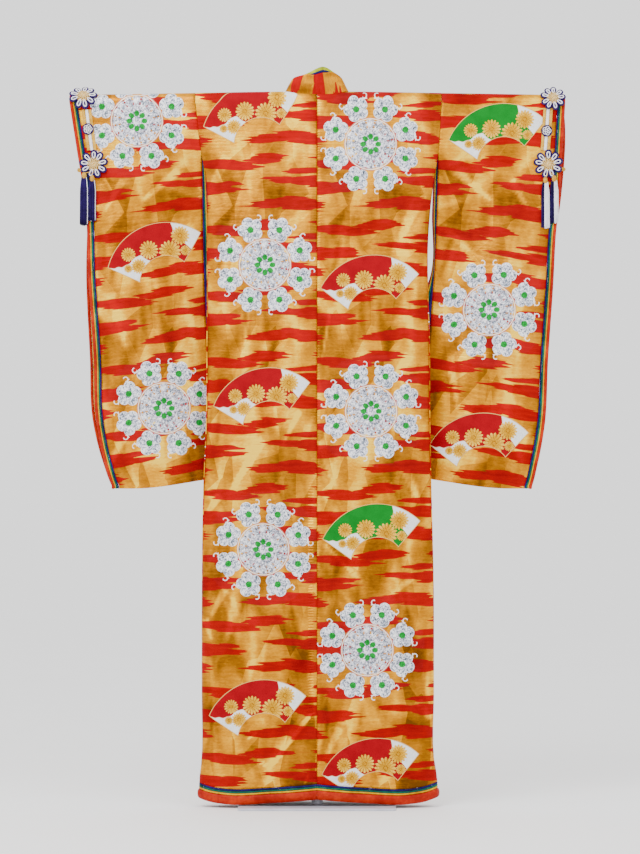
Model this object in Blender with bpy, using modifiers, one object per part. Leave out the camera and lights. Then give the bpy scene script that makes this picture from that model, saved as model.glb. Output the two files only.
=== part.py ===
"""An uchikake wedding kimono hanging on a T-shaped display stand.

The kimono's back faces -Y, its fronts face +Y, left over right. The origin is on the floor, under the
middle of the stand's base. left is the wearer's left, at -X.
"""

import math

import bmesh
import bpy
import numpy as np

# Cloth
WALL = 0.0024  # a panel: outer cloth, core and lining
GAP = 0.0003  # between pieces at a seam
COLLAR_WALL = 0.005  # the folded collar band
FOLD_DEPTH = 0.0022  # the largest soft undulations

# Stand
ROD_RADIUS = 0.015
ROD_HALF = 0.612
ROD_Z = 1.8443
BASE_SIZE = (0.410, 0.220, 0.006)
BASE_CORNER = 0.012

# Where cloth turns over the rod
TURN_STEPS = 8
TURN = (ROD_RADIUS + GAP) / math.cos(math.pi / 2 / TURN_STEPS) + WALL / 2
SHOULDER_RISE = ((0.0, 0.0090), (0.09, 0.0090), (0.32, 0.0055), (0.65, 0.0))  # reach, rise

# Body outline: height, half width
WIDTH_LEFT = (
    (0.00, 0.3070), (0.07, 0.3065), (0.12, 0.3015), (0.30, 0.3007), (0.60, 0.3000), (0.83, 0.2967),
    (1.01, 0.2895), (1.22, 0.2880), (1.50, 0.2875), (1.64, 0.2885), (1.70, 0.3000), (1.72, 0.3030),
    (1.79, 0.3115), (1.86, 0.3200),
)
WIDTH_RIGHT = (
    (0.00, 0.3145), (0.07, 0.3135), (0.12, 0.3060), (0.30, 0.3052), (0.60, 0.3040), (0.83, 0.2985),
    (1.00, 0.2955), (1.25, 0.2935), (1.33, 0.2905), (1.48, 0.2900), (1.64, 0.3050), (1.70, 0.3150),
    (1.72, 0.3169), (1.79, 0.3216), (1.86, 0.3263),
)
# Half depth of the body at its middle, and at its sides: height, depth
DEPTH = (
    (0.00, 0.0580), (0.30, 0.0550), (0.80, 0.0500), (1.20, 0.0430), (1.50, 0.0340), (1.70, 0.0225),
    (1.80, 0.0176), (1.8443, TURN),
)
SIDE_DEPTH = (
    (0.00, GAP / 2), (1.56, GAP / 2), (1.60, 0.0010), (1.64, 0.0045), (1.68, 0.0090), (1.715, 0.0125),
    (1.78, 0.0157), (1.82, 0.0167), (1.8443, TURN),
)
# Lower edge of the panels above the hem edging: reach from the middle, height
HEM_BACK = ((0.0, 0.0640), (0.03, 0.0610), (0.12, 0.0545), (0.24, 0.0500), (0.28, 0.0550), (0.32, 0.0670))
HEM_FRONT = ((-0.12, 0.0545), (0.20, 0.0545), (0.28, 0.0580), (0.32, 0.0670))

# Neck, collar and front edges, measured from the middle toward the panel's own side
NECK_HALF = 0.087
NECK_DROP = math.radians(25)  # how far down the back of the turn the neck edge is cut
COLLAR_TOP = 1.80  # where the collar starts its straight run down the front
COLLAR_END = 0.86
COLLAR_END_SEAM = -0.030
COLLAR_SLANT = 0.0045  # its end is this much lower at the free edge
FREE_TOP = 0.036
FRONT_EDGE = -0.105
OKUMI_SEAM = 0.055
# How much further out the left front lies than the right one: height, distance
OVERLAP = ((0.0, 0.0190), (0.30, 0.0180), (1.20, 0.0130), (1.56, 0.0110), (1.72, 0.0))
OVERLAP_FROM = 0.24
OVERLAP_FULL = 0.15

# Sleeves: height, outer edge of the cuff edging, armhole edge of the cloth
SLEEVE_LEFT = (
    (0.80, 0.5180, 0.2330), (0.83, 0.5335, 0.2350), (0.90, 0.5560, 0.2480), (1.01, 0.5780, 0.2680),
    (1.17, 0.5836, 0.2850), (1.38, 0.5977, 0.2970), (1.57, 0.6055, 0.3010), (1.715, 0.6277, 0.3029),
    (1.86, 0.6500, 0.3206),
)
SLEEVE_RIGHT = (
    (0.80, 0.5450, 0.2430), (0.83, 0.5596, 0.2450), (0.90, 0.5780, 0.2560), (0.99, 0.5946, 0.2710),
    (1.17, 0.6045, 0.2900), (1.37, 0.6180, 0.3060), (1.50, 0.6250, 0.3130), (1.585, 0.6340, 0.3155),
    (1.715, 0.6420, 0.3171), (1.86, 0.6500, 0.3269),
)
# The far layer of each cuff shows past the near one: height, distance
FAR_LEFT = ((0.83, 0.0), (0.90, 0.0050), (1.42, 0.0060), (1.55, 0.0), (1.86, 0.0))
FAR_RIGHT = ((0.83, 0.0), (1.48, 0.0), (1.60, 0.0055), (1.78, 0.0055), (1.83, 0.0), (1.86, 0.0))
SLEEVE_BOTTOM = ((-0.1, 0.8335), (0.3, 0.8340), (0.75, 0.8520), (1.1, 0.8700))  # across, height
SLEEVE_FOLD = 0.0050  # radius of the sleeve's bottom fold
# Half depth of a sleeve: height, depth
SLEEVE_DEPTH = (
    (0.84, SLEEVE_FOLD), (0.88, 0.0085), (0.95, 0.0120), (1.10, 0.0150), (1.35, 0.0150), (1.60, 0.0130),
    (1.715, 0.0125), (1.78, 0.0157), (1.82, 0.0167), (1.8443, TURN),
)
# How far the armhole side of a sleeve swings behind the body: height, distance
SWING = (
    (0.80, 0.0580), (1.10, 0.0580), (1.30, 0.0550), (1.45, 0.0480), (1.57, 0.0370), (1.64, 0.0245),
    (1.685, 0.0090), (1.712, 0.0), (1.722, 0.0), (1.74, 0.0), (1.86, 0.0),
)
SLEEVE_WIDTH = 0.32
ARMHOLE_LOW = 1.712
ARMHOLE_GAP = 0.0006
RIDGE_GAP = 0.003  # between a sleeve's back and front, in the places that sleeve_point counts in
FOLD_GAP = 0.018
CUFF_EDGING = 0.029
CUFF_CLOTH = CUFF_EDGING / SLEEVE_WIDTH
# Edging profiles: distance along the cloth, half thickness. Three narrow rolls, then a wide one.
CUFF_PROFILE = (
    (0.0290, 0.0017), (0.0236, 0.0021), (0.0170, 0.0023), (0.0122, 0.0020), (0.0060, 0.0030), (0.0, 0.0012),
)
ARM_PROFILE = ((0.0, 0.0015), (0.40, 0.0018), (0.75, 0.0018), (1.0, 0.0008))
ARM_EDGING = ((0.80, 0.018), (1.56, 0.018), (1.62, 0.010), (1.66, 0.005), (1.69, 0.003))  # height, width
ARM_TOP = 1.68
HEM_PROFILE = (
    (0.0005, 0.0017), (0.0060, 0.0023), (0.0130, 0.0024), (0.0165, 0.0028), (0.0230, 0.0064),
    (0.0310, 0.0070), (0.0380, 0.0050), (0.0413, 0.0018),
)  # distance down, half thickness

# Cord rosettes on the cuffs: side, place across, height, radius, turn
ROSETTES = (("left", -0.5838, 1.680, 0.0350, 0.0), ("right", 0.6047, 1.680, 0.0360, 20.0))
UPPER_ROSETTES = (("left", -0.6115, 0.0350), ("right", 0.6165, 0.0310))
UPPER_TILT = math.radians(48)
UPPER_BEND = 0.045
PETALS = 9
ROSETTE_RINGS = (
    (0.0, 0.0078), (0.13, 0.0072), (0.25, 0.0045), (0.33, 0.0038), (0.68, 0.0052), (1.0, 0.0025),
)  # share of its radius, height
# Knots on the cords: side, place across, height, then the cords' lift and top end
KNOTS = (("left", -0.598, 1.7716, 0.0049, 1.8225), ("right", 0.600, 1.7670, 0.0041, 1.8265))
CORD_END = 1.7160
ORNAMENT_LIFT = 0.0035
KNOT_RADIUS = 0.0145
CORD_HALF = 0.0041  # half its width, then half its thickness
CORD_RADIUS = 0.0022
CORD_PITCH = 0.0085
BEADS = (("left", 203.0), ("right", 341.0))
BEAD_RADIUS = 0.0058
TASSELS = (
    ("tassel_left_outer", -0.6083, 1.6587, 1.5170),
    ("tassel_left_inner", -0.5875, 1.6508, 1.5280),
    ("tassel_right_inner", 0.5965, 1.6460, 1.5100),
    ("tassel_right_outer", 0.6195, 1.6502, 1.5230),
)
TASSEL_LOCKS = 8

# Rows of points up the back and down the front of a body panel, as shares of its height
BACK_ROWS = (
    0.0, 0.03, 0.08, 0.15, 0.23, 0.31, 0.39, 0.47, 0.55, 0.62, 0.69, 0.75, 0.80, 0.84, 0.87, 0.895, 0.92,
    0.945, 0.97, 1.0,
)
SLEEVE_ROWS = (
    0.0, 0.03, 0.07, 0.11, 0.15, 0.19, 0.24, 0.32, 0.42, 0.52, 0.62, 0.72, 0.81, 0.88, 0.94, 0.98, 1.0,
)
FRONT_ROWS = (
    1.0, 0.975, 0.95, 0.92, 0.895, 0.87, 0.84, 0.78, 0.70, 0.62, 0.53, 0.44, 0.35, 0.26, 0.17, 0.09, 0.03,
    0.0,
)

COLLAR_RIGHT = (  # seam edge x, y, z, then free edge x, y, z, from the middle of the back
    (0.0000, -0.0085, 1.8695, 0.0040, -0.0200, 1.9310),
    (0.0220, -0.0085, 1.8697, 0.0165, -0.0195, 1.9362),
    (0.0450, -0.0078, 1.8709, 0.0370, -0.0165, 1.9250),
    (0.0660, -0.0052, 1.8726, 0.0575, -0.0090, 1.9115),
    (0.0800, 0.0005, 1.8734, 0.0680, 0.0040, 1.9000),
    (0.0836, 0.0098, 1.8672, 0.0680, 0.0200, 1.8880),
    (0.0836, 0.0174, 1.8560, 0.0610, 0.0310, 1.8700),
    (0.0854, 0.0186, 1.8350, 0.0500, 0.0300, 1.8420),
)
COLLAR_LEFT_HEIGHTS = (1.9310, 1.9205, 1.9125, 1.9085, 1.8980, 1.8870, 1.8700, 1.8420)


def curve(at, table, column=1):
    """A smooth line through a table's rows, flat beyond its ends."""
    rows = np.array(table, float)
    places = rows[:, 0]
    values = rows[:, column]
    slopes = np.gradient(values, places)
    at = np.clip(np.asarray(at, float), places[0], places[-1])
    i = np.clip(np.searchsorted(places, at) - 1, 0, len(places) - 2)
    span = places[i + 1] - places[i]
    t = (at - places[i]) / span
    start = values[i] * (1 + 2 * t) * (1 - t) ** 2 + slopes[i] * span * t * (1 - t) ** 2
    end = values[i + 1] * t * t * (3 - 2 * t) + slopes[i + 1] * span * t * t * (t - 1)
    return start + end


def ease(t):
    t = np.clip(t, 0, 1)
    return t * t * (3 - 2 * t)


def half_width(x, z):
    """The body's half width on the side that x is on."""
    left = curve(z, WIDTH_LEFT)
    right = curve(z, WIDTH_RIGHT)
    return np.where(np.asarray(x) < 0, left, right)


def lens(x, z):
    """Half depth of the body's tube at x."""
    share = np.clip(np.abs(x) / half_width(x, z), 0, 1)
    side = curve(z, SIDE_DEPTH)
    return side + (curve(z, DEPTH) - side) * np.sqrt(1 - share * share)


def undulation(x, z, turn):
    """Soft folds of the panels, none at the shoulders, hem and side seams."""
    share = np.clip(np.abs(x) / half_width(x, z), 0, 1)
    calm = ease((1.72 - z) / 0.25) * ease((z - 0.06) / 0.2) * (1 - share**6)
    wave = np.sin(17 * x + 5 * z + turn) + 0.8 * np.sin(29 * x - 7 * z + 2 * turn)
    return FOLD_DEPTH * calm * (wave + 0.7 * np.sin(11 * z + 3 * x + turn))


def back_point(x, z):
    y = -lens(x, z) + undulation(x, z, 1.0)
    return np.stack(np.broadcast_arrays(x, y, z), axis=-1)


def front_point(side, x, z):
    """A front panel's surface. side is -1 for the left front, which lies over the right one."""
    own = x * side
    over = 0.0
    if side < 0:
        over = curve(z, OVERLAP) * ease((OVERLAP_FROM - own) / (OVERLAP_FROM - OVERLAP_FULL))
    y = lens(x, z) + undulation(x, z, 2.6) + over
    return np.stack(np.broadcast_arrays(x, y, z), axis=-1)


def turn_point(x, angle):
    """The cloth over the rod, angle from -90 degrees in front to 90 degrees at the back."""
    rise = curve(np.abs(x), SHOULDER_RISE)
    y = -TURN * np.sin(angle)
    z = ROD_Z + (TURN + rise) * np.cos(angle)
    return np.stack(np.broadcast_arrays(x, y, z), axis=-1)


def collar_seam(z):
    """The line where a front meets the collar, from the middle toward its own side."""
    share = (COLLAR_TOP - np.asarray(z, float)) / (COLLAR_TOP - COLLAR_END)
    return NECK_HALF + (COLLAR_END_SEAM - NECK_HALF) * np.clip(share, 0, 1)


def collar_free(z):
    share = (COLLAR_TOP - np.asarray(z, float)) / (COLLAR_TOP - COLLAR_END)
    return FREE_TOP + (FRONT_EDGE - FREE_TOP) * np.clip(share, 0, 1)


def sleeve_point(side, across, around):
    """A sleeve's surface. across is 0 at the cuff's outer edge and 1 at the armhole; around is 0 to 1 over
    the rod from front to back, 1 to 2 down the back, 2 to 3 round the bottom fold and 3 to 4 up the front."""
    across, around = np.broadcast_arrays(np.asarray(across, float), np.asarray(around, float))
    table = SLEEVE_LEFT if side < 0 else SLEEVE_RIGHT
    far = FAR_LEFT if side < 0 else FAR_RIGHT
    bottom = curve(across, SLEEVE_BOTTOM) + SLEEVE_FOLD
    down = np.clip(around - 1, 0, 1)
    up = np.clip(around - 3, 0, 1)
    z = np.where(around <= 2, ROD_Z + (bottom - ROD_Z) * down, bottom + (ROD_Z - bottom) * up)
    depth = np.where(z <= bottom + 1e-9, SLEEVE_FOLD, curve(z, SLEEVE_DEPTH))
    depth = SLEEVE_FOLD + (depth - SLEEVE_FOLD) * ease((z - bottom) / 0.05)
    angle = np.where(around <= 1, (around - 0.5) * math.pi, 0)
    low = np.where((around > 2) & (around < 3), (around - 2) * math.pi, 0)
    face = np.where(around <= 2, -1.0, 1.0)
    outer = curve(z, table, 1)
    inner = np.where(z > ARMHOLE_LOW, half_width(side, z) + ARMHOLE_GAP, curve(z, table, 2))
    outer = outer + np.where(face > 0, curve(z, far), 0)
    reach = outer + (inner - outer) * across
    rise = curve(reach, SHOULDER_RISE)
    y = face * depth
    y = np.where(around <= 1, -TURN * np.sin(angle), y)
    y = np.where(low > 0, -SLEEVE_FOLD * np.cos(low), y)
    top = np.where(around <= 1, (TURN + rise) * np.cos(angle), 0)
    dip = np.where(low > 0, -SLEEVE_FOLD * np.sin(low), 0)
    swing = curve(z, SWING) * ease((across - 0.30) / 0.70)
    calm = ease((1.70 - z) / 0.2) * ease((z - 0.86) / 0.1)
    wave = np.sin(15 * reach + 6 * z + face) + 0.8 * np.sin(24 * reach - 9 * z + 2 * face)
    y = y + swing + FOLD_DEPTH * calm * wave
    return np.stack([side * reach, y, z + top + dip], axis=-1)


def lifted(side, across, around, height):
    """A point over a sleeve's surface, by height along its outward normal."""
    step = 1e-3
    middle = sleeve_point(side, across, around)
    across = np.asarray(across, float)
    one = sleeve_point(side, across + step, around) - sleeve_point(side, across - step, around)
    low = np.maximum(np.asarray(around) - step, 0)
    high = np.minimum(np.asarray(around) + step, 4)
    two = sleeve_point(side, across, high) - sleeve_point(side, across, low)
    normal = side * np.cross(one, two)
    normal = normal / np.linalg.norm(normal, axis=-1, keepdims=True)
    return middle + normal * np.asarray(height)[..., None]


def on_back(side, x, z):
    """across and around of the place on a sleeve's back at x and z."""
    table = SLEEVE_LEFT if side < 0 else SLEEVE_RIGHT
    outer = curve(z, table, 1)
    inner = curve(z, table, 2)
    across = (outer - np.abs(x)) / (outer - inner)
    bottom = curve(across, SLEEVE_BOTTOM) + SLEEVE_FOLD
    return across, 1 + (ROD_Z - z) / (ROD_Z - bottom)


def collection_of(name):
    found = bpy.data.collections.new(name)
    bpy.context.scene.collection.children.link(found)
    return found


def material_of(name, colour, roughness, metallic=0.0):
    made = bpy.data.materials.new(name)
    made.use_nodes = True
    shader = made.node_tree.nodes["Principled BSDF"]
    shader.inputs["Base Color"].default_value = (*[(c / 255) ** 2.2 for c in colour], 1)
    shader.inputs["Roughness"].default_value = roughness
    shader.inputs["Metallic"].default_value = metallic
    return made


def object_of(name, points, faces, material):
    mesh = bpy.data.meshes.new(name)
    mesh.from_pydata([tuple(map(float, p)) for p in points], [], faces)
    work = bmesh.new()
    work.from_mesh(mesh)
    bmesh.ops.recalc_face_normals(work, faces=work.faces)
    work.to_mesh(mesh)
    work.free()
    mesh.materials.append(material)
    mesh.shade_smooth()
    made = bpy.data.objects.new(name, mesh)
    KIMONO.objects.link(made)
    return made


def grid_faces(rows, columns):
    """Faces of a grid of points given row by row."""
    faces = []
    for i in range(rows - 1):
        for j in range(columns - 1):
            a = i * columns + j
            b = a + columns
            faces.append((a, a + 1, b + 1, b))
    return faces


def cloth(name, points, faces, material, thickness=WALL):
    """A sheet with its wall on both sides of the points."""
    made = object_of(name, points, faces, material)
    wall = made.modifiers.new("wall", "SOLIDIFY")
    wall.thickness = thickness
    wall.offset = 0
    wall.use_even_offset = True
    return made


def loft(name, rings, material, closed=False):
    """A solid through rings of points, its ends capped unless it closes on itself."""
    rings = np.array(rings)
    count, around = rings.shape[:2]
    points = list(rings.reshape(-1, 3))
    faces = []
    for i in range(count if closed else count - 1):
        for j in range(around):
            a = i * around
            b = (i + 1) % count * around
            k = (j + 1) % around
            faces.append((a + j, a + k, b + k, b + j))
    if not closed:
        for first, ring in ((0, rings[0]), ((count - 1) * around, rings[-1])):
            points.append(ring.mean(axis=0))
            middle = len(points) - 1
            faces += [(first + j, first + (j + 1) % around, middle) for j in range(around)]
    return object_of(name, points, faces, material)


def both_faces(profile):
    """A profile's outline: its rows on the outer face, then back along the inner face."""
    return [(a, b) for a, b in profile] + [(a, -b) for a, b in reversed(profile)]


def columns_between(count):
    """Places between two reaches, closer together toward the side of the body."""
    share = np.linspace(0, 1, count + 1)
    return lambda inner, outer: outer * np.sin(
        np.arcsin(inner / outer) + (math.pi / 2 - np.arcsin(inner / outer)) * share
    )


def body(name, side, material):
    """One body panel: up the back, over the rod and down the front, its neck cut out."""
    spread = columns_between(8)
    turn_rows = np.radians((67.5, 45, 22.5, 0, -22.5, -45, -67.5))
    points = []
    for share in BACK_ROWS:
        reach = spread(NECK_HALF, half_width(side, ROD_Z * share + 0.05 * (1 - share)))
        foot = curve(reach, HEM_BACK)
        z = foot + (ROD_Z - foot) * share
        reach = spread(NECK_HALF, half_width(side, z[-1]))
        points += list(back_point(side * reach, z))
    wide = half_width(side, ROD_Z)
    for angle in turn_rows:
        points += list(turn_point(side * spread(NECK_HALF, wide), angle))
    for share in FRONT_ROWS:
        z = 0.055 + (ROD_Z - 0.055) * share
        inner = np.maximum(collar_seam(z), OKUMI_SEAM)
        reach = spread(inner, half_width(side, z))
        foot = curve(reach, HEM_FRONT)
        z = foot + (ROD_Z - foot) * share
        points += list(front_point(side, side * reach, z))
    rows = len(BACK_ROWS) + len(turn_rows) + len(FRONT_ROWS)
    faces = grid_faces(rows, 9)
    inner = np.linspace(GAP / 2, NECK_HALF, 4)[:-1]
    start = len(points)
    for share in BACK_ROWS:
        foot = curve(inner, HEM_BACK)
        points += list(back_point(side * inner, foot + (ROD_Z - foot) * share))
    for angle in turn_rows[:4]:
        top = NECK_DROP * (1 - (inner / NECK_HALF) ** 2)
        bent = top + (math.pi / 2 - top) * angle / (math.pi / 2)
        points += list(turn_point(side * inner, bent))
    for i in range(len(BACK_ROWS) + 3):
        a = start + i * 3
        b = a + 3
        faces += [(a, a + 1, b + 1, b), (a + 1, a + 2, b + 2, b + 1)]
        faces.append((a + 2, i * 9, (i + 1) * 9, b + 2))
    return cloth(name, points, faces, material)


def okumi(name, side, material):
    """The overlap panel, from its seam to the collar or to the front edge below it."""
    tip = 1.515
    above = np.linspace(tip, COLLAR_END - GAP, 8)
    heights = np.concatenate([above, np.linspace(COLLAR_END - COLLAR_SLANT, 0.0545, 9)])
    points = []
    for z in heights:
        edge = collar_seam(z) + GAP if z > COLLAR_END - 2 * GAP else FRONT_EDGE
        reach = np.linspace(OKUMI_SEAM - GAP, edge, 5)
        points += list(front_point(side, side * reach, z))
    return cloth(name, points, grid_faces(len(heights), 5), material)


def collar(name, material):
    """One band round the back of the neck and down both fronts."""
    halves = []
    for side in (1, -1):
        rows = []
        for i, row in enumerate(COLLAR_RIGHT):
            seam = np.array(row[:3])
            free = np.array(row[3:])
            if side < 0:
                free[2] = COLLAR_LEFT_HEIGHTS[i]
            rows.append((seam * (side, 1, 1), free * (side, 1, 1)))
        for z in np.concatenate([[1.80, 1.77], np.linspace(1.72, COLLAR_END, 10)]):
            seam = front_point(side, side * (collar_seam(z) - GAP), z)
            drop = COLLAR_SLANT - GAP if z < COLLAR_END + GAP else 0
            free = front_point(side, side * collar_free(z), z - drop)
            free[1] += 0.006 * ease((z - 1.70) / 0.12)
            rows.append((seam, free))
        halves.append(rows)
    middle = halves[0][0]
    rows = halves[1][:0:-1] + [middle] + halves[0][1:]
    share = np.linspace(0, 1, 4)[:, None]
    points = [p for seam, free in rows for p in seam + (free - seam) * share]
    return cloth(name, points, grid_faces(len(rows), 4), material, COLLAR_WALL)


def around_rows():
    """The places round a sleeve that carry points: over the rod, down, round the fold and up."""
    down = np.array(SLEEVE_ROWS)
    over = np.linspace(0, 1, TURN_STEPS + 1)[:-1]
    return np.concatenate([over, 1 + down, (2.33, 2.67), 4 - down[::-1][:-1]])


def sleeve(name, side, material, half):
    """One sleeve's back or front, from the ridge over the rod to the seam along its bottom."""
    around = around_rows()
    ridge = TURN_STEPS // 2
    low = 1 + int(np.argmax(around > 2.0001))
    top = np.array((RIDGE_GAP, 0.02))  # two close rows, so that each edge is cut square
    fold = np.array((0.08, FOLD_GAP))
    if half == "back":
        around = np.concatenate([0.5 + top, around[ridge + 1 : low], 2.5 - fold])
    else:
        around = np.concatenate([2.5 + fold[::-1], around[low:], around[:ridge], 0.5 - top[::-1]])
    across = CUFF_CLOTH + (1 - CUFF_CLOTH) * np.array((0.0, 0.12, 0.26, 0.40, 0.54, 0.68, 0.80, 0.90, 1.0))
    points = sleeve_point(side, across[None, :], around[:, None]).reshape(-1, 3)
    return cloth(name, points, grid_faces(len(around), len(across)), material)


def cuff_edging(name, side, material):
    """Layered edging round a cuff: three narrow rolls and a wide one, past the cloth's edge."""
    outline = both_faces(CUFF_PROFILE)
    rings = []
    for around in around_rows():
        across = np.array([(a - GAP) / SLEEVE_WIDTH for a, _ in outline])
        height = np.array([b for _, b in outline])
        rings.append(lifted(side, across, around, height))
    return loft(name, rings, material, closed=True)


def arm_edging(name, side, material):
    """Narrow edging down the open edge of a sleeve under the armhole."""
    outline = both_faces(ARM_PROFILE)
    rings = []
    for around in around_rows():
        z = sleeve_point(side, 1.0, around)[2]
        if around <= 1 or z > ARM_TOP:
            continue
        width = curve(z, ARM_EDGING)
        across = np.array([1 + (2 * GAP + a * width) / SLEEVE_WIDTH for a, _ in outline])
        height = np.array([b for _, b in outline])
        rings.append(lifted(side, across, around, height))
    return loft(name, rings, material)


def hem_path(side):
    """Points of the panels' lower edge, from the middle of the back round the side to the front edge."""
    spread = columns_between(8)
    wide = half_width(side, float(curve(0.31, HEM_BACK)))
    reach = np.concatenate([np.linspace(GAP / 2, NECK_HALF, 4)[:-1], spread(NECK_HALF, wide)[:-1]])
    back = back_point(side * reach, curve(reach, HEM_BACK))
    edge = np.array([[side * wide, 0.0, curve(wide, HEM_BACK)]])
    reach = np.concatenate([spread(OKUMI_SEAM, wide)[-2:0:-1], np.linspace(OKUMI_SEAM, FRONT_EDGE, 5)])
    front = front_point(side, side * reach, curve(reach, HEM_FRONT))
    return np.concatenate([back, edge, front])


def hem_edging(name, side, material):
    """Layered edging and a padded roll below the panels."""
    path = hem_path(side)
    along = np.gradient(path, axis=0)
    along[:, 2] = 0
    along = along / np.linalg.norm(along, axis=1, keepdims=True)
    out = side * np.stack([along[:, 1], -along[:, 0], 0 * along[:, 0]], axis=1)
    outline = both_faces(HEM_PROFILE)
    rings = []
    for i, place in enumerate(path):
        tight = 0.72 if i in (0, len(path) - 1) else 1.0
        rings.append([place + out[i] * b * tight - (0, 0, a) for a, b in outline])
    return loft(name, rings, material)


def rosette_faces(rings, count):
    faces = []
    for i in range(rings - 1):
        for j in range(count):
            k = (j + 1) % count
            a = 1 + i * count
            b = a + count
            faces.append((a + j, a + k, b + k, b + j))
    faces += [(0, 1 + (j + 1) % count, 1 + j) for j in range(count)]
    return faces


def rosette(name, place, radius, turn, material):
    """A flower of cord loops round a boss. place gives the point at two distances and a height."""
    count = PETALS * 3
    angles = np.arange(count) * 2 * math.pi / count
    lobe = 0.90 + 0.10 * np.cos(angles * PETALS)
    angles = angles + math.radians(turn)
    points = [place(0.0, 0.0, ROSETTE_RINGS[0][1])]
    levels = list(ROSETTE_RINGS[1:]) + [(0.97, 0.0), (0.45, 0.0)]
    for share, height in levels:
        edge = lobe if share > 0.5 else 1.0 + 0 * lobe
        for angle, wide in zip(angles, radius * share * edge):
            points.append(place(wide * math.cos(angle), wide * math.sin(angle), height))
    faces = rosette_faces(len(levels), count)
    points.append(place(0.0, 0.0, 0.0))
    last = 1 + (len(levels) - 1) * count
    faces += [(len(points) - 1, last + j, last + (j + 1) % count) for j in range(count)]
    return object_of(name, points, faces, material)


def on_sleeve(side, x, z, lift):
    """A place function for ornaments that lie on a sleeve's back round x and z."""

    def place(right, up, height):
        across, around = on_back(side, x + right, z + up)
        return lifted(side, across, around, height + lift)

    return place


def over_edge(side, x):
    """A place function for the upper rosettes, which bend over the top of the sleeve."""
    radius = TURN + 0.0034
    contact = np.array([x, -radius * math.sin(UPPER_TILT), ROD_Z + radius * math.cos(UPPER_TILT)])
    hub = contact + np.array([0, UPPER_BEND * math.sin(UPPER_TILT), -UPPER_BEND * math.cos(UPPER_TILT)])

    def place(right, up, height):
        angle = UPPER_TILT - up / UPPER_BEND
        reach = UPPER_BEND + height
        return hub + np.array([right, -reach * math.sin(angle), reach * math.cos(angle)])

    return place


def dome(name, place, radius, height, material, sides=12):
    """A low round knot on its place."""
    rings = []
    for share, up in ((1.0, 0.0), (1.0, 0.45), (0.80, 0.80), (0.40, 1.0)):
        angles = np.arange(sides) * 2 * math.pi / sides
        wide = radius * share
        rings.append([place(wide * math.cos(a), wide * math.sin(a), height * up) for a in angles])
    return loft(name, rings, material)


def cord(name, side, x, top, bottom, lift, material):
    """A flat cord that lies down a sleeve's back."""
    rings = []
    for z in np.linspace(top, bottom, 8):
        place = on_sleeve(side, x, z, lift)
        angles = np.arange(8) * math.pi / 4
        rings.append([place(CORD_HALF * math.cos(a), 0.0, CORD_RADIUS * math.sin(a)) for a in angles])
    return loft(name, rings, material)


def tassel(name, x, top, bottom, material):
    """Locks of thread that hang apart below the head that holds them."""
    side = -1 if x < 0 else 1
    neck = top - 0.016
    y = lifted(side, *on_back(side, x, top - 0.008), ORNAMENT_LIFT)[1] - 0.0050
    bpy.ops.mesh.primitive_uv_sphere_add(segments=10, ring_count=6, radius=1, location=(x, y, top - 0.008))
    head = bpy.context.object
    head.scale = (0.0062, 0.0056, 0.0080)
    bpy.ops.object.transform_apply(location=False, rotation=False, scale=True)
    head.name = name
    head.data.materials.append(material)
    head.data.shade_smooth()
    bpy.context.collection.objects.unlink(head)
    KIMONO.objects.link(head)
    for i in range(TASSEL_LOCKS):
        turn = 2 * math.pi * i / TASSEL_LOCKS
        rings = []
        for share, spread, thick in ((0.0, 0.0026, 0.0016), (0.25, 0.0050, 0.0017), (1.0, 0.0060, 0.0018)):
            z = neck + 0.006 + (bottom + 0.003 * (i % 3) - neck - 0.006) * share
            y = lifted(side, *on_back(side, x, z), ORNAMENT_LIFT)[1] - 0.0050 - 0.0012 * share
            centre = np.array([x + spread * 1.2 * math.cos(turn), y + spread * 0.7 * math.sin(turn), z])
            corners = turn + np.radians((0, 120, 240))
            rings.append([centre + thick * np.array([math.cos(a), math.sin(a), 0]) for a in corners])
        lock = loft(f"{name}_lock_{i}", rings, material)
        KIMONO.objects.unlink(lock)
        CUTTERS.objects.link(lock)
        lock.hide_render = True
        lock.display_type = "WIRE"
        join = head.modifiers.new(f"lock_{i}", "BOOLEAN")
        join.operation = "UNION"
        join.solver = "EXACT"
        join.object = lock
    return head


def stand(base_material, tee_material):
    bpy.ops.mesh.primitive_cube_add(size=1, location=(0, 0, BASE_SIZE[2] / 2))
    base = bpy.context.object
    base.name = "stand_base"
    base.scale = BASE_SIZE
    bpy.ops.object.transform_apply(location=False, rotation=False, scale=True)
    shape = bmesh.new()
    shape.from_mesh(base.data)
    upright = [e for e in shape.edges if abs(e.verts[0].co.z - e.verts[1].co.z) > 0.001]
    bmesh.ops.bevel(shape, geom=upright, offset=BASE_CORNER, segments=5, affect="EDGES", profile=0.5)
    rim = [e for e in shape.edges if min(v.co.z for v in e.verts) > 0.002]
    bmesh.ops.bevel(shape, geom=rim, offset=0.0015, segments=2, affect="EDGES", profile=0.5)
    shape.to_mesh(base.data)
    shape.free()
    base.data.materials.append(base_material)
    foot = BASE_SIZE[2] + GAP
    middle = (0, 0, (ROD_Z + foot) / 2)
    bpy.ops.mesh.primitive_cylinder_add(vertices=24, radius=ROD_RADIUS, depth=ROD_Z - foot, location=middle)
    tee = bpy.context.object
    tee.name = "stand_tee"
    tee.data.materials.append(tee_material)
    tee.data.shade_smooth()
    bpy.ops.mesh.primitive_cylinder_add(
        vertices=24,
        radius=ROD_RADIUS,
        depth=2 * ROD_HALF,
        location=(0, 0, ROD_Z),
        rotation=(0, math.pi / 2, 0),
    )
    bar = bpy.context.object
    bar.name = "crossbar_join"
    bar.hide_render = True
    bar.display_type = "WIRE"
    for made, home in ((base, KIMONO), (tee, KIMONO), (bar, CUTTERS)):
        bpy.context.scene.collection.objects.unlink(made)
        home.objects.link(made)
    join = tee.modifiers.new("crossbar", "BOOLEAN")
    join.operation = "UNION"
    join.solver = "EXACT"
    join.object = bar


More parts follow.
